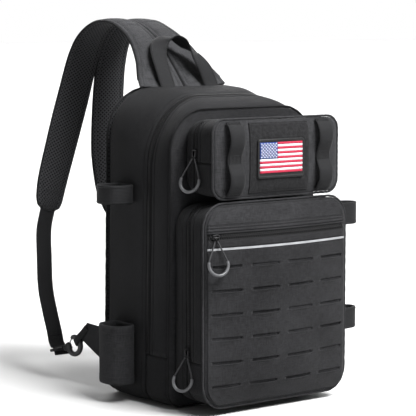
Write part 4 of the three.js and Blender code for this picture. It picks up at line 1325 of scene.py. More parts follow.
def satin_band(name, left, right, low, high, lift, finish, rows=4):
    """A raised band of satin stitch, crowned across its height."""
    xs, zs = np.linspace(left, right, 15), np.linspace(low, high, rows + 1)
    crown = 0.28 * np.sin(np.linspace(0, math.pi, rows + 1)) ** 0.5
    x, z = np.meshgrid(xs, zs)
    points = on_top_face(x, z, lift + crown[:, None])
    return wear(face_sheet(name, points, finish, 0.35), "embroidery")


for i in range(STRIPES):
    top = FLAG_HIGH - i * stripe_tall
    low, high = top - stripe_tall + SATIN_GAP, top - SATIN_GAP
    left = CANTON_RIGHT if i < CANTON_STRIPES else -FLAG_HALF
    dyed = white_thread if i % 2 else red_thread
    satin_band(f"stripe_{i + 1:02d}", left, FLAG_HALF, low, high, SATIN_LIFT, dyed)
canton_low = FLAG_HIGH - CANTON_STRIPES * stripe_tall
low, high = canton_low + SATIN_GAP, FLAG_HIGH - SATIN_GAP
right = CANTON_RIGHT - 2 * SATIN_GAP
satin_band("star_field", -FLAG_HALF, right, low, high, SATIN_LIFT, blue_thread, rows=10)

STAR_ROWS = 9
spoke = np.arange(10) * math.pi / 5 + math.pi / 2
star_reach = np.where(np.arange(10) % 2, 0.76, 1.42)
STAR_FACES = [(k, (k + 1) % 10, 10 + (k + 1) % 10, 10 + k) for k in range(10)]
STAR_FACES += [range(9, -1, -1), range(10, 20)]
tips, star_faces = [], []
for row in range(STAR_ROWS):
    count = 6 if row % 2 == 0 else 5
    for i in range(count):
        x = -FLAG_HALF + (CANTON_RIGHT + FLAG_HALF) * (2 * i + (1 if row % 2 == 0 else 2)) / 12
        z = canton_low + (FLAG_HIGH - canton_low) * (row + 1) / (STAR_ROWS + 1)
        first = len(tips)
        for lift in STAR_LEVELS:
            tips += list(on_top_face(x + star_reach * np.cos(spoke), z + star_reach * np.sin(spoke), lift))
        star_faces += [[first + k for k in face] for face in STAR_FACES]
stars = piece("stars", np.array(tips) * MM, star_faces, finishes=[white_thread])
turn_outwards(stars, np.array(tips), star_faces)
wear(stars, "embroidery")
print("flag:", STRIPES, "stripes,", len(tips) // 20, "stars")

# %% [markdown]
# ## Blowing up padding with cloth simulation
#
# Foam under cloth looks full in the middle and tight along every seam. Blender's Cloth gives exactly that:
# the sewn points are pinned, a little pressure fills the rest, and gravity is off. The mesh starts slimmer
# than the finished pad, runs a few frames, and each point's move is capped, so the pad never leaves its
# place. The result is written back into the mesh, and the modifier is removed.

# %% Inflate a pad
FRAMES = 18


def vertex_places(mesh):
    flat = np.empty(3 * len(mesh.vertices), np.float32)
    mesh.vertices.foreach_get("co", flat)
    return flat.reshape(-1, 3).astype(float)


def inflate(made, sewn, pressure, cap):
    group = made.vertex_groups.new(name="sewn")
    group.add([int(i) for i in np.flatnonzero(sewn)], 1.0, "REPLACE")
    cloth = made.modifiers.new("padding", "CLOTH")
    cloth.settings.quality = 6
    cloth.settings.mass = 0.15
    cloth.settings.tension_stiffness = cloth.settings.compression_stiffness = 25
    cloth.settings.shear_stiffness = 12
    cloth.settings.bending_stiffness = 0.6
    cloth.settings.vertex_group_mass = "sewn"
    cloth.settings.use_pressure = True
    cloth.settings.uniform_pressure_force = pressure
    cloth.settings.effector_weights.gravity = 0
    cloth.collision_settings.use_collision = False
    cloth.collision_settings.use_self_collision = False
    before = vertex_places(made.data)
    for step in range(1, FRAMES + 1):
        scene.frame_set(step)
    swollen = made.evaluated_get(bpy.context.evaluated_depsgraph_get())
    move = vertex_places(swollen.data) - before
    reach = np.linalg.norm(move, axis=1, keepdims=True)
    move *= np.minimum(1, cap / np.maximum(reach, 1e-9))
    made.modifiers.remove(cloth)
    made.vertex_groups.clear()
    made.data.vertices.foreach_set("co", (before + move).astype(np.float32).ravel())
    made.data.update()
    scene.frame_set(1)
    print(made.name, "swelled by up to", round(float(np.linalg.norm(move, axis=1).max()) / MM, 2), "mm")


# %% [markdown]
# ## The padded straps
#
# Each strap rises from the top seam, bends over in an arch and comes down behind the bag. It is a flat pad
# about ten millimetres thick: nylon outside, mesh on the inner side, with a sewn border a finger's width
# from each edge. The sweep below keeps that border as two pinned lines, and the simulation fills what lies
# between them.

# %% Strap tables
Station = namedtuple("Station", "x y z width")
STRAP_LEFT = [
    Station(-40, 62, 419.8, 72), Station(-34, 87, 449, 56), Station(-32, 113, 478, 46),
    Station(-33, 139, 496, 42), Station(-34, 168, 506, 42.5), Station(-36, 203, 503.5, 44),
    Station(-38.5, 232, 485, 47), Station(-41.2, 248, 458, 51), Station(-52, 263, 393, 52),
    Station(-74, 264, 321, 49), Station(-90, 261, 274, 46), Station(-97, 258, 250, 41),
    Station(-99.6, 256.4, 240.5, 34), Station(-101, 255.8, 234.6, 17),
]
STRAP_RIGHT = [
    Station(34, 62, 419.8, 72), Station(25, 87, 449, 56), Station(18, 115, 478, 47),
    Station(13.5, 143, 496, 43), Station(12, 175, 506, 43), Station(11, 212, 502, 44),
    Station(9.9, 239, 478, 47), Station(9.1, 252.5, 445, 49), Station(8.5, 259, 399, 51),
    Station(10, 265, 317, 53), Station(18, 268, 262, 48), Station(25, 267, 236, 40),
    Station(28.3, 266.2, 226, 34), Station(30, 265.7, 220.5, 17),
]
STRAP_ROWS = 157
CROSS_ROWS = {"left": [38, 43], "right": [42]}
SEAM_DEPTH = 9 * MM
BORDER = 6.5
BORDER_SEAM, CROSS_SEAM = 2.1 * MM, 2.5 * MM
CROSS_THICK = 2.3
TIP_BOX_HALF, TIP_BOX_LIFT, TIP_BOX_ROWS = 10, 4.7, (13, 30)
# From the middle of the strap to its edge: a share of the half width, and how thick the pad is there.
SEWN_AT = 0.765
PAD = [
    (0, 4.1), (0.15, 4.1), (0.3, 4.0), (0.45, 3.8), (0.6, 3.4),
    (0.7, 2.7), (SEWN_AT, 1.9), (0.84, 2.8), (0.93, 2.5), (1, 1.2),
]
PAD_ACROSS, PAD_THICK = np.array([(-a, thick) for a, thick in PAD[:0:-1]] + PAD).T
SEWN_COLUMNS = [0, 1, 2, 3, 15, 16, 17, 18]
BORDER_COLUMNS = (3, 15)


def table_column(table, place, key):
    return np.interp(place, np.arange(len(table)), [getattr(row, key) for row in table])


def strap_frame(table):
    """The strap's line with its directions. Its first stations run down into the top seam."""
    route = smooth_route([row[:3] for row in table], STRAP_ROWS) * MM
    along, across_strap, out = frame_of(route, (1, 0, 0))
    route[0] -= SEAM_DEPTH * along[0]
    return route, across_strap, out


def strap_sections(widths, cross_rows):
    """Rounded sections of the pad along its length, with the border at its own distance from the edge."""
    sewn_share = 1 - BORDER / (widths[:, None] / 2)
    beyond = (abs(PAD_ACROSS)[None] - SEWN_AT) / (1 - SEWN_AT)
    shares = np.where(
        abs(PAD_ACROSS)[None] <= SEWN_AT,
        PAD_ACROSS[None] / SEWN_AT * sewn_share,
        np.sign(PAD_ACROSS)[None] * (sewn_share + beyond * (1 - sewn_share)),
    )
    thick = np.broadcast_to(PAD_THICK, shares.shape).copy()
    thick[cross_rows] = np.minimum(thick[cross_rows], CROSS_THICK)
    thick *= np.interp(np.arange(STRAP_ROWS), [STRAP_ROWS - 14, STRAP_ROWS - 1], [1, 0.45])[:, None]
    side = shares * widths[:, None] / 2
    outer = np.stack([side, thick], axis=-1)
    inner = np.stack([side, -thick], axis=-1)[:, ::-1]
    return np.concatenate([outer, inner], axis=1) * MM


def strap(name, table, cross_rows, solid):
    place = np.linspace(0, len(table) - 1, STRAP_ROWS)
    route, across_strap, out = strap_frame(table)
    sections = strap_sections(table_column(table, place, "width"), cross_rows)
    points = swept(route, across_strap, out, sections)
    columns = points.shape[1]
    half = columns // 2
    finish_of = np.tile((np.arange(columns) >= half).astype(int), STRAP_ROWS - 1)
    # The outer cloth is the lighter copy, which is painted light; the inner side is mesh.
    made = capped(name, points, [painted_light_strap_cloth, mesh_cloth], np.concatenate([finish_of, [0, 0]]))
    sewn = np.zeros((STRAP_ROWS, columns), bool)
    sewn[:, SEWN_COLUMNS] = sewn[:, [columns - 1 - c for c in SEWN_COLUMNS]] = True
    sewn[:2] = sewn[-4:] = True
    sewn[cross_rows] = True
    inflate(made, sewn.ravel(), pressure=5.0, cap=1.6 * MM)
    wear(made, "mesh", solid)
    return route, across_strap, out, sections


# %% Straps
left_strap = strap("padded_strap_left", STRAP_LEFT, CROSS_ROWS["left"], "strap_left")
right_strap = strap("padded_strap_right", STRAP_RIGHT, CROSS_ROWS["right"], "strap_right")


# %% [markdown]
# ## Edge binding and strap seams
#
# A folded tape is sewn over each edge of the straps, and it is what shows as a fine ridge along them. It is
# a slim tube pressed flat against the edge. The seams run just inside it on both faces, across the strap
# where the padding is divided, and in a box where the webbing enters the tip.

# %% Binding and seams
BINDING_HALF, BINDING_INSET = (3.2, 1.5), 1.2


def edge_binding(name, route, across_strap, out, sections, side):
    edge = route + across_strap * (sections[:, 0, 0] * -side)[:, None]
    turn = full_turn(12)
    wide, thick = BINDING_HALF
    pressed = np.stack([np.cos(turn) * wide - BINDING_INSET, np.sin(turn) * thick], axis=1) * MM
    pressed[:, 0] *= side
    made = capped(name, swept(edge[1:-1], across_strap[1:-1], out[1:-1], pressed), [binding])
    return wear(made, "webbing")


strap_seams = []
for name, (route, across_strap, out, sections) in (("left", left_strap), ("right", right_strap)):
    for side, label in ((-1, "a"), (1, "b")):
        edge_binding(f"strap_binding_{name}_{label}", route, across_strap, out, sections, side)
    for column in BORDER_COLUMNS:
        for face in (1, -1):
            level = out * face
            strap_seams.append((route + across_strap * sections[:, column, :1] + level * BORDER_SEAM, level))
    for row in CROSS_ROWS[name]:
        ends = np.linspace(-1, 1, 20)[:, None] * sections[row, BORDER_COLUMNS[1], 0]
        run = route[row] + across_strap[row] * ends + out[row] * CROSS_SEAM
        strap_seams.append((run, np.broadcast_to(out[row], run.shape)))
    low, high = (len(route) - 2 - up_from_tip for up_from_tip in TIP_BOX_ROWS)
    turns = [(-1, low), (1, low), (1, high), (-1, high), (-1, low), (1, high), (-1, high), (1, low)]
    for face in (1, -1):
        lift = face * TIP_BOX_LIFT
        box = [route[r] + (across_strap[r] * s * TIP_BOX_HALF + out[r] * lift) * MM for s, r in turns]
        strap_seams.append((even_route(np.array(box), 90), np.broadcast_to(out[low] * face, (90, 3))))
sew("strap_stitches", strap_seams, thread, pitch=3.6 * MM)

# %% [markdown]
# ## The padded back
#
# The back of the main compartment is a mesh-covered pad with a sewn border. The photograph does
# not show it, so it is kept plain. It is a cushion of two grids joined round their rims, the outer one
# filled by the simulation.

# %% Back cushion
BACK_FLOOR = 74.6
UNDER_PIPING = 1.8
BACK_SEAM_IN, BACK_SEAM_LIFT, BACK_SEWN = 12.5, 4.6, 13.6
ARCH_X, ARCH_Z, ARCH_ACROSS, ARCH_DOWN, ARCH_MEAN = 55, 348, 64, 66, 65
BACK_RISE = [
    (0, 0.2), (1.2, 2.2), (3, 3.6), (8, 6.2), (11, 6.4),
    (BACK_SEAM_IN, 4.4), (14, 6.6), (20, 8.6), (60, 9.6),
]
back_row = BODY[0]._replace(
    half=BODY[0].half + UNDER_PIPING, top=BODY[0].top + UNDER_PIPING, base=BODY[0].base - UNDER_PIPING
)
back_heights = crowded_heights(back_row, 90)
back_widths = outline_half(back_row, back_heights)
back_spread = crowded(55)
x = back_widths[:, None] * back_spread[None]
z = np.broadcast_to(back_heights[:, None], x.shape)
from_rim = np.minimum(back_widths[:, None] - abs(x), np.minimum(z - back_row.base, back_row.top - z))
shoulder = np.hypot(np.maximum(abs(x) - ARCH_X, 0) / ARCH_ACROSS, np.maximum(z - ARCH_Z, 0) / ARCH_DOWN)
in_arch = (abs(x) > ARCH_X) & (z > ARCH_Z)
from_rim = np.where(in_arch, np.minimum(from_rim, (1 - shoulder) * ARCH_MEAN), from_rim)
swell = np.interp(np.maximum(from_rim, 0), *zip(*BACK_RISE))
outer = np.stack([x, BACK_FLOOR + swell, z], axis=-1)
inner = np.stack([x, np.full(x.shape, BACK_FLOOR - 0.2), z], axis=-1)
rows, columns = x.shape
count = rows * columns
sheet_faces = grid_faces(rows, columns)
rim = np.concatenate([
    np.arange(columns), np.arange(1, rows) * columns + columns - 1,
    (rows - 1) * columns + np.arange(columns - 2, -1, -1), np.arange(rows - 2, 0, -1) * columns,
])
rim_faces = [[a, b, b + count, a + count] for a, b in zip(rim, np.roll(rim, -1))]
faces = sheet_faces.tolist() + (sheet_faces[:, ::-1] + count).tolist() + rim_faces
points = np.concatenate([outer.reshape(-1, 3), inner.reshape(-1, 3)]) * MM
flat = np.concatenate([np.stack([x, z], -1).reshape(-1, 2)] * 2) * MM
corners = np.concatenate([flat[list(face)] for face in faces])
back_pad = piece("back_cushion", points, faces, corners, [mesh_cloth])
turn_outwards(back_pad, points, faces)
sewn = np.concatenate([(from_rim < BACK_SEWN).ravel(), np.ones(count, bool)])
inflate(back_pad, sewn, pressure=3.0, cap=2.2 * MM)
wear(back_pad, "mesh", "back_panel")
seam_ring = outline(back_row, "ring", MAIN_SEAM, inset=BACK_SEAM_IN) * MM
seam_level = np.full(len(seam_ring), (BACK_FLOOR + BACK_SEAM_LIFT) * MM)
seam_route = np.stack([seam_ring[:, 0], seam_level, seam_ring[:, 1]], axis=1)
sew("back_stitches", [(seam_route, np.broadcast_to((0.0, 1.0, 0.0), seam_route.shape))], thread, pitch=4 * MM)

# %% [markdown]
# ## The carrying handle
#
# A loop of webbing between the straps. Its legs lie flat where they are sewn in, and it rolls over at the
# grip, so the width of the band has to twist along its length. A table gives the share and the tilt of that
# turn at every point, and the sweep blends the two directions. The grip bows a little, as a folded band
# does.

# %% Handle
HandleRow = namedtuple("HandleRow", "x y z edge lead tilt width")
GRAB = [
    HandleRow(-38, 44, 408, 0, 1, -60, 25), HandleRow(-37, 50.8, 419, 0, 1, -60, 25),
    HandleRow(-36, 63.5, 441, 0.03, 1, -60, 25), HandleRow(-32, 78, 459, 0.22, 1, -50, 25),
    HandleRow(-25, 87.5, 472, 0.68, 1, -38, 24), HandleRow(-13, 91, 481, 1, 1, -22, 23),
    HandleRow(0, 86, 482.5, 1, -1, 10, 23), HandleRow(11, 77, 475.5, 0.72, -1, 38, 24),
    HandleRow(23, 65.5, 458.5, 0.25, -1, 45, 25), HandleRow(33, 57, 439, 0.03, -1, 45, 25),
    HandleRow(38, 50.8, 419, 0, -1, 45, 25), HandleRow(39, 44, 408, 0, -1, 45, 25),
]
GRAB_THICK = 2.2
place = np.linspace(0, len(GRAB) - 1, 133)
route = smooth_route([row[:3] for row in GRAB], len(place)) * MM
edge = table_column(GRAB, place, "edge")[:, None]
tilt = np.radians(table_column(GRAB, place, "tilt"))
lead = np.sign(table_column(GRAB, place, "lead"))[:, None] * np.array((1, 0, 0))
on_edge = np.stack([np.zeros(len(tilt)), -np.cos(tilt), np.sin(tilt)], axis=1)
along, across_grip, out = frame_of(route, lead * (1 - edge) + on_edge * edge)
widths = table_column(GRAB, place, "width")
sections = np.stack([
    band_section(width * MM, GRAB_THICK * MM, curl=1.2 * bow * MM) for width, bow in zip(widths, edge[:, 0])
])
wear(capped("carry_handle", swept(route, across_grip, out, sections), [webbing]), "webbing", "grab_handle")
handle_seams = []
for side in (-1, 1):
    inside = across_grip * (side * (widths / 2 - 2.6) * MM)[:, None]
    for face in (-1, 1):
        handle_seams.append((route + inside + out * face * (GRAB_THICK / 2 + 0.1) * MM, out * face))
sew("handle_stitches", handle_seams, thread)
print("handle:", round(lengths_along(route)[-1] / MM), "mm round")

# %% [markdown]
# ## Webbing of the straps
#
# A plain band leaves the tip of each strap, hangs in a bow and turns round the bar of the hook. Its lower
# end is held by the hook and its upper end by the strap, so it is a fixed part of the bag and not a free
# cord.

# %% Hook frame and webbing
HOOK_X, HOOK_Y, HOOK_Z = 121, 188.3, 44.6
HOOK_LIFT = math.radians(16)
HOOK_U = np.array((0, -math.cos(HOOK_LIFT), math.sin(HOOK_LIFT)))
HOOK_W = np.array((0, math.sin(HOOK_LIFT), math.cos(HOOK_LIFT)))
HOOK_N = np.cross(HOOK_U, HOOK_W)
SIDES = {"left": -1, "right": 1}
WEB_WIDTH, WEB_THICK = 25, 1.6
HANGING = {
    "left": [
        (-98.5, 257, 247), (-101.2, 256.2, 236), (-107, 257, 208), (-113, 247.6, 168), (-118, 237, 125),
        (-120.5, 221.5, 91), (-121, 210, 65.5),
    ],
    "right": [
        (26.5, 266.6, 232.5), (30.2, 265.7, 221.5), (44, 263, 194), (68, 254, 156), (95, 239, 118),
        (115, 221.5, 91), (121, 210, 65.5),
    ],
}
BAR_TURN = [(-14.5, 12), (-12.4, 7), (-10, 4.1), (-6.2, 2.8), (-4.4, -2), (-3.8, -8)]


def at_hook(name, u, w, n=0):
    """A point of the hook's own frame in millimetres: u towards the bag, w upwards, n across."""
    return np.array((SIDES[name] * HOOK_X, HOOK_Y, HOOK_Z)) + u * HOOK_U + w * HOOK_W + n * HOOK_N


web_tacks = []
for name in SIDES:
    turn = [at_hook(name, u, w) for u, w in BAR_TURN]
    route = smooth_route([*HANGING[name], *turn], 166) * MM
    along, across_band, out = frame_of(route, (1, 0, 0))
    band = swept(route, across_band, out, band_section(WEB_WIDTH * MM, WEB_THICK * MM))
    wear(capped(f"hanging_webbing_{name}", band, [webbing]), "webbing", f"webbing_{name}")
    total = lengths_along(route)[-1]
    for face in (-1, 1):
        places = [total - 0.036, total - 0.031]
        web_tacks += bar_tack(route, across_band, out * face, places, (WEB_WIDTH - 5) * MM, 0.95 * MM)
    print("webbing", name, "-", round(total / MM), "mm")
sew("webbing_bar_tacks", web_tacks, thread, pitch=2.2 * MM)


# %% [markdown]
# ## Snap hooks
#
# Moulded hooks join the webbing to the lower corners. Each is built from simple swept bars: a frame for the
# webbing, a turned neck, and a thick open ring whose mouth is closed by a wire gate. Rounded bars catch
# small highlights that a flat plate would not. The parts are joined into one mesh, since it is one fitting
# to the eye.

# %% Hook shapes
def rounded_frame(low, high, half, corner):
    """A closed path round a rectangle with round corners, as pairs along and across."""
    middle = [
        arc(high - corner, half - corner, corner, corner, 0, 90, 9),
        arc(low + corner, half - corner, corner, corner, 90, 180, 9),
        arc(low + corner, corner - half, corner, corner, 180, 270, 9),
        arc(high - corner, corner - half, corner, corner, 270, 360, 9),
    ]
    closed = np.concatenate([*middle, middle[0][:1]])
    flat = np.column_stack([closed, np.zeros(len(closed))])
    return even_route(flat, 97)[:-1, :2]


def oval(across, out, sides=14, power=0.75):
    """A section between a circle and a square, by half widths."""
    turn = full_turn(sides)
    circle = np.stack([np.cos(turn), np.sin(turn)], axis=1)
    return np.sign(circle) * abs(circle) ** power * np.array((across, out))


def joined(pieces):
    """One object from several, under the first one's name."""
    with bpy.context.temp_override(active_object=pieces[0], selected_editable_objects=pieces):
        bpy.ops.object.join()
    return pieces[0]


NECK = [(1.2, 3.0), (2.4, 3.6), (4.6, 3.6), (5.2, 2.7), (6.2, 2.7), (6.8, 3.9), (11.6, 3.9), (13, 3.2)]
SHOULDER = [(8.8, 3.4, 2.2), (10.4, 5.4, 2.6), (13, 6.8, 2.8), (17, 7.2, 2.7), (20, 6.2, 2.4), (21, 4.6, 1.8)]
RING_U, RING_HALF, RING_HOLE, RING_N = 31, np.array((20, 15.5)), np.array((10, 8.5)), 2.5
RING_FROM, RING_TO, RING_STEPS = 158, 474, 81
GATE = (104, 166)
GATE_WIRE = 1.1 * MM


def on_ring(name, degrees):
    """Points on the middle line of the ring, and half the thickness of its bar there."""
    turn = np.radians(np.atleast_1d(degrees))
    middle, bar = (RING_HALF + RING_HOLE) / 2, (RING_HALF - RING_HOLE) / 2
    points = [at_hook(name, RING_U + middle[0] * math.cos(a), middle[1] * math.sin(a)) for a in turn]
    return np.array(points) * MM, bar[0] * np.cos(turn) ** 2 + bar[1] * np.sin(turn) ** 2


def hook_ring(name):
    route, bar = on_ring(name, np.linspace(RING_FROM, RING_TO, RING_STEPS))
    along, level, radial = frame_of(route, HOOK_N)
    from_tip = np.arange(RING_STEPS)[::-1]
    taper = np.interp(from_tip, [0, 1, 4, 9], [0.3, 0.6, 0.92, 1])
    sections = np.stack([oval(RING_N * t, b * t, 16) for b, t in zip(bar, taper)]) * MM
    return capped(f"hook_{name}_ring", swept(route, level, radial, sections), [hook_plastic])


def snap_hook(name):
    frame_path = rounded_frame(-10.2, 1.2, 14.9, 3)
    route = np.array([at_hook(name, u, 0, v) for u, v in frame_path]) * MM
    along, across_bar, out = frame_of(route, HOOK_W, loop=True)
    bar = swept(route, across_bar, out, oval(2.1, 1.75) * MM)
    parts = [hook_ring(name), capped(f"hook_{name}_frame", bar, [hook_plastic], loop_rows=True)]
    for table in ([(u, r, r) for u, r in NECK], SHOULDER):
        route = np.array([at_hook(name, row[0], 0) for row in table]) * MM
        sections = np.stack([oval(w, n) for _, w, n in table]) * MM
        sides = [np.broadcast_to(axis, route.shape) for axis in (HOOK_W, HOOK_N)]
        block = swept(route, *sides, sections)
        parts.append(capped(f"hook_{name}_{len(parts)}", block, [hook_plastic]))
    ends, _ = on_ring(name, GATE)
    gate_line = ends[0] + (ends[1] - ends[0]) * np.linspace(0, 1, 9)[:, None]
    wire = tube(f"hook_{name}_gate", gate_line, GATE_WIRE, HOOK_N)
    wire.data.materials.append(bright_wire)
    made = joined([*parts, wire])
    made.name = f"hook_{name}"
    return wear(made, "plastic", f"snap_hook_{name}")


for name in SIDES:
    hook = snap_hook(name)
    print(hook.name, "-", len(hook.data.polygons), "faces")


# %% [markdown]
# ## Anchors and side loops
#
# A tab of webbing passes through each hook's ring, and a pointed wing sewn into the back seam carries it.
# On the sides hang closed loops: a narrow band and a deep sleeve on the left, two bands on the right. A
# loop is a band swept round a closed path, flat against the wall on one side and bowed out on the other.

# %% Tabs and wings
def closed_route(points, steps=9):
    """A smooth closed line through the points, without repeating its first one."""
    known = [np.asarray(p, float) for p in points]
    run = smooth_route([known[-1], *known, *known[:2]], (len(known) + 2) * steps + 1)
    return run[steps:(len(known) + 1) * steps]


# Along the tab, from the ring's middle: how far out, and how far it stands off the middle plane.
TAB_HALF = [(45, 1.9), (38, 1.9), (30, 2.1), (20, 3.4), (8, 3.4), (6.7, 2.7), (6, 1.3)]
TAB = [*TAB_HALF, (5.9, 0), *((t, -n) for t, n in TAB_HALF[::-1])]
TAB_ANGLE, TAB_WIDTH, TAB_THICK = math.radians(26), 10, 1.4
TAB_BOX = [(31, -3.2), (31, 3.2), (43.5, 3.2), (43.5, -3.2), (31, -3.2), (43.5, 3.2)]
TAB_ACROSS = math.cos(TAB_ANGLE) * HOOK_W - math.sin(TAB_ANGLE) * HOOK_U
WING_SEAM, WING_THICK = (79.4, (38, 88)), 2.4
WING_TIPS = [(137.8, 63.3), (126.6, 89.8)]


def at_tab(name, t, n, across_tab=0):
    middle = at_hook(name, RING_U + t * math.cos(TAB_ANGLE), t * math.sin(TAB_ANGLE), n)
    return (middle + across_tab * TAB_ACROSS) * MM


anchor_seams = []
for name, side in SIDES.items():
    route = smooth_route([at_tab(name, t, n) / MM for t, n in TAB], 141) * MM
    along, across_tab, out = frame_of(route, TAB_ACROSS)
    band = swept(route, across_tab, out, band_section(TAB_WIDTH * MM, TAB_THICK * MM))
    wear(capped(f"tab_{name}", band, [webbing]), "webbing", f"anchor_tab_{name}")
    for face in (-1, 1):
        box = np.array([at_tab(name, t, face * 2.75, a) for t, a in TAB_BOX])
        anchor_seams.append((even_route(box, 70), np.broadcast_to(HOOK_N * face, (70, 3))))
    share = np.linspace(0, 1, 15)[:, None]
    seam_y, seam_heights = WING_SEAM
    rim = []
    for z, tip in zip(seam_heights, WING_TIPS):
        sewn_end, free_end = np.array((side * HOOK_X, seam_y, z)), np.array((side * HOOK_X, *tip))
        rim.append((sewn_end * (1 - share) + free_end * share) * MM)
    middle, half = (rim[0] + rim[1]) / 2, np.linalg.norm(rim[1] - rim[0], axis=1) / 2
    up = unit(rim[1] - rim[0])
    outward = np.broadcast_to((float(side), 0.0, 0.0), up.shape)
    sections = np.stack([band_section(2 * h, WING_THICK * MM, 15) for h in half])
    wing = capped(f"wing_{name}", swept(middle, up, outward, sections), [nylon])
    wear(wing, "nylon", f"anchor_wing_{name}")
    for edge in (-1, 1):
        for face in (-1, 1):
            level = outward * face
            run = middle + up * (edge * (half - 3 * MM))[:, None] + level * (WING_THICK / 2 + 0.1) * MM
            anchor_seams.append((run, level))
sew("anchor_stitches", anchor_seams, thread)

# %% Side loops
SideLoop = namedtuple("SideLoop", "x y reach half low high thick finish slot solid")
SIDE_LOOPS = {
    "rod_band": SideLoop(-125.6, 26, 40, 22, 266, 291, 2.4, webbing, "webbing", "rod_loop"),
    "rod_pocket": SideLoop(-129.3, 22, 35, 24, 26, 105, 2.0, nylon, "nylon", "rod_sleeve"),
    "tool_band_upper": SideLoop(120.3, -90, 58, 16, 229, 259, 2.4, webbing, "webbing", "tool_loop_upper"),
    "tool_band_lower": SideLoop(120.3, -90, 58, 16, 84, 113, 2.4, webbing, "webbing", "tool_loop_lower"),
}
# Round a loop, from the wall: share of its reach and share of its half width.
BOWED = [(0.16, 0.96), (0.5, 1), (0.83, 0.8), (None, 0.3)]
BOWED += [(out, -a) for out, a in BOWED[::-1]]
HEM = 9


def loop_path(loop):
    against = [(loop.thick / 2, a) for a in (-0.72, 0, 0.72)]
    away = [(loop.reach - loop.thick / 2 if out is None else out * loop.reach, a) for out, a in BOWED]
    side, middle = np.sign(loop.x), (loop.low + loop.high) / 2
    return [(loop.x + side * out, loop.y + a * loop.half, middle) for out, a in [*against, *away]]


loop_seams = []
for name, loop in SIDE_LOOPS.items():
    route = closed_route(loop_path(loop)) * MM
    along, up, out = frame_of(route, (0, 0, 1), loop=True)
    tall = loop.high - loop.low
    slab = band_section(tall * MM, loop.thick * MM, 33)
    if loop.finish is nylon:
        hem = abs(slab[:, 0]) > (tall / 2 - HEM) * MM
        slab[hem, 1] *= 1.35
    wear(capped(name, swept(route, up, out, slab), [loop.finish], loop_rows=True), loop.slot, loop.solid)
    middle = route.mean(axis=0)
    outward = out * np.sign(((route - middle) * out).sum(axis=1, keepdims=True).mean())
    lift = outward * (loop.thick / 2 + 0.15) * MM
    for edge in (-1, 1):
        inset = HEM + 1.2 if loop.finish is nylon else 2.4
        run = route + up * edge * (tall / 2 - inset) * MM + lift
        loop_seams.append((np.vstack([run, run[:1]]), np.vstack([outward, outward[:1]])))
    print(name, "-", round(lengths_along(np.vstack([route, route[:1]]))[-1] / MM), "mm round")
sew("loop_stitches", loop_seams, thread)

# %% [markdown]
# ## Zip sliders
#
# A slider is a small cast shield on the teeth, with a bail that holds the pull. The shield is a stack of
# rounded outlines, and the bail a bent wire. They are tiny in the picture, yet they break the line of each
# zip where the eye looks for them.

# %% Sliders
SHIELD = [(-0.6, 0.84), (0, 0.97), (0.5, 1), (2.0, 1), (2.5, 0.93), (2.8, 0.74)]
SHIELD_SIZE = (10.6, 7.6)
BAIL = [(4.1, 2.2), (3.6, 3.3), (2, 4.0), (0, 4.2), (-2.2, 4.0), (-3.9, 3.2), (-4.6, 2.0)]
Slider = namedtuple("Slider", "at out along")
SLIDERS = {name: Slider(pull.at, pull.out, (0, 0, 1)) for name, pull in PULLS.items()}
SLIDERS["slash"] = SLIDERS["slash"]._replace(along=ALONG_SLASH)
SLIDERS["main"] = Slider((126.96, -22, 84), (1, 0, 0), (0, 0, 1))
for name, slider in SLIDERS.items():
    out, along = unit(np.array(slider.out, float)), unit(np.array(slider.along, float))
    side = np.cross(out, along)
    rim = oval(SHIELD_SIZE[0] / 2, SHIELD_SIZE[1] / 2, 20, 0.6)
    rim[:, 1] *= 1 + 0.14 * rim[:, 0] / (SHIELD_SIZE[0] / 2)
    plate = rim[:, :1] * along + rim[:, 1:] * side
    levels = [np.array(slider.at) + out * rise + share * plate for rise, share in SHIELD]
    shield = capped(f"shield_{name}", np.array(levels) * MM, [painted_metal])
    wear(shield, "metal", f"slider_{name}")
    wire = smooth_route([np.array(slider.at) + along * u + out * rise for u, rise in BAIL], 31) * MM
    bail = tube(f"bail_{name}", wire, 0.75 * MM, side)
    bail.data.materials.append(painted_metal)
    wear(bail, "metal")
print("sliders:", ", ".join(SLIDERS))

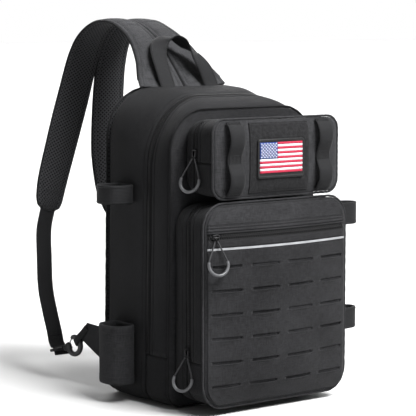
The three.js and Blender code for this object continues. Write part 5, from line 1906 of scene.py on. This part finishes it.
# %% [markdown]
# ## Floor and light
#
# The bag is photographed on white, lit from high in front on the right, so its top is the brightest, its
# front is charcoal and its left side stays dark; the walls' darker cloth adds painted shade to that side. A
# wide sun and a softbox near the front give that soft key, and a weaker sun from behind on the right shows
# the back. A grey floor that the key lights to white throws less light up into the dark side than a white
# one would. The surround is white at the horizon and dim overhead.

# %% Stage
def soft_sun(name, towards_light, strength, spread):
    light = bpy.data.objects.new(name, bpy.data.lights.new(name, "SUN"))
    light.data.energy = strength
    light.data.angle = math.radians(spread)
    x, y, z = towards_light
    light.rotation_euler = (math.atan2(math.hypot(x, y), z), 0, math.atan2(y, x) + math.pi / 2)
    scene.collection.objects.link(light)


soft_sun("key", (0.15, -0.53, 0.83), 7.6, 34)
soft_sun("fill", (0.5, 0.7, 0.5), 2.6, 50)

near = bpy.data.objects.new("near_softbox", bpy.data.lights.new("near_softbox", "AREA"))
near.data.size, near.data.energy = 0.6, 15
near.location = (0.25, -0.75, 1.25)
near.rotation_euler = (math.radians(38), 0, math.radians(18))
scene.collection.objects.link(near)

world = bpy.data.worlds.new("white_surround")
world.use_nodes = True
nodes, links = world.node_tree.nodes, world.node_tree.links
direction = nodes.new("ShaderNodeTexCoord")
split = nodes.new("ShaderNodeSeparateXYZ")
overhead = nodes.new("ShaderNodeMapRange")
for i, value in enumerate((0.05, 0.2, 1.0, 0.14), start=1):
    overhead.inputs[i].default_value = value
links.new(direction.outputs["Generated"], split.inputs[0])
links.new(split.outputs["Z"], overhead.inputs[0])
links.new(overhead.outputs[0], nodes["Background"].inputs["Strength"])
nodes["Background"].inputs["Color"].default_value = (1, 1, 1, 1)
scene.world = world
scene.view_settings.view_transform = "Standard"

floor_finish = Finish("pale_floor", (0.5, 0.5, 0.5), 0.8, Specular_IOR_Level=0.1)
floor_finish.rough(floor_finish.ramp(floor_finish.noise(floor_finish.place(), 3.0), 0.75, 0.9, 0.3, 0.7))
FLOOR_ENDS = (-40, 40)
floor_grid = np.array([[(x, y, 0.0) for y in FLOOR_ENDS] for x in FLOOR_ENDS])
floor = grid_piece("floor", floor_grid, floor_finish.material)
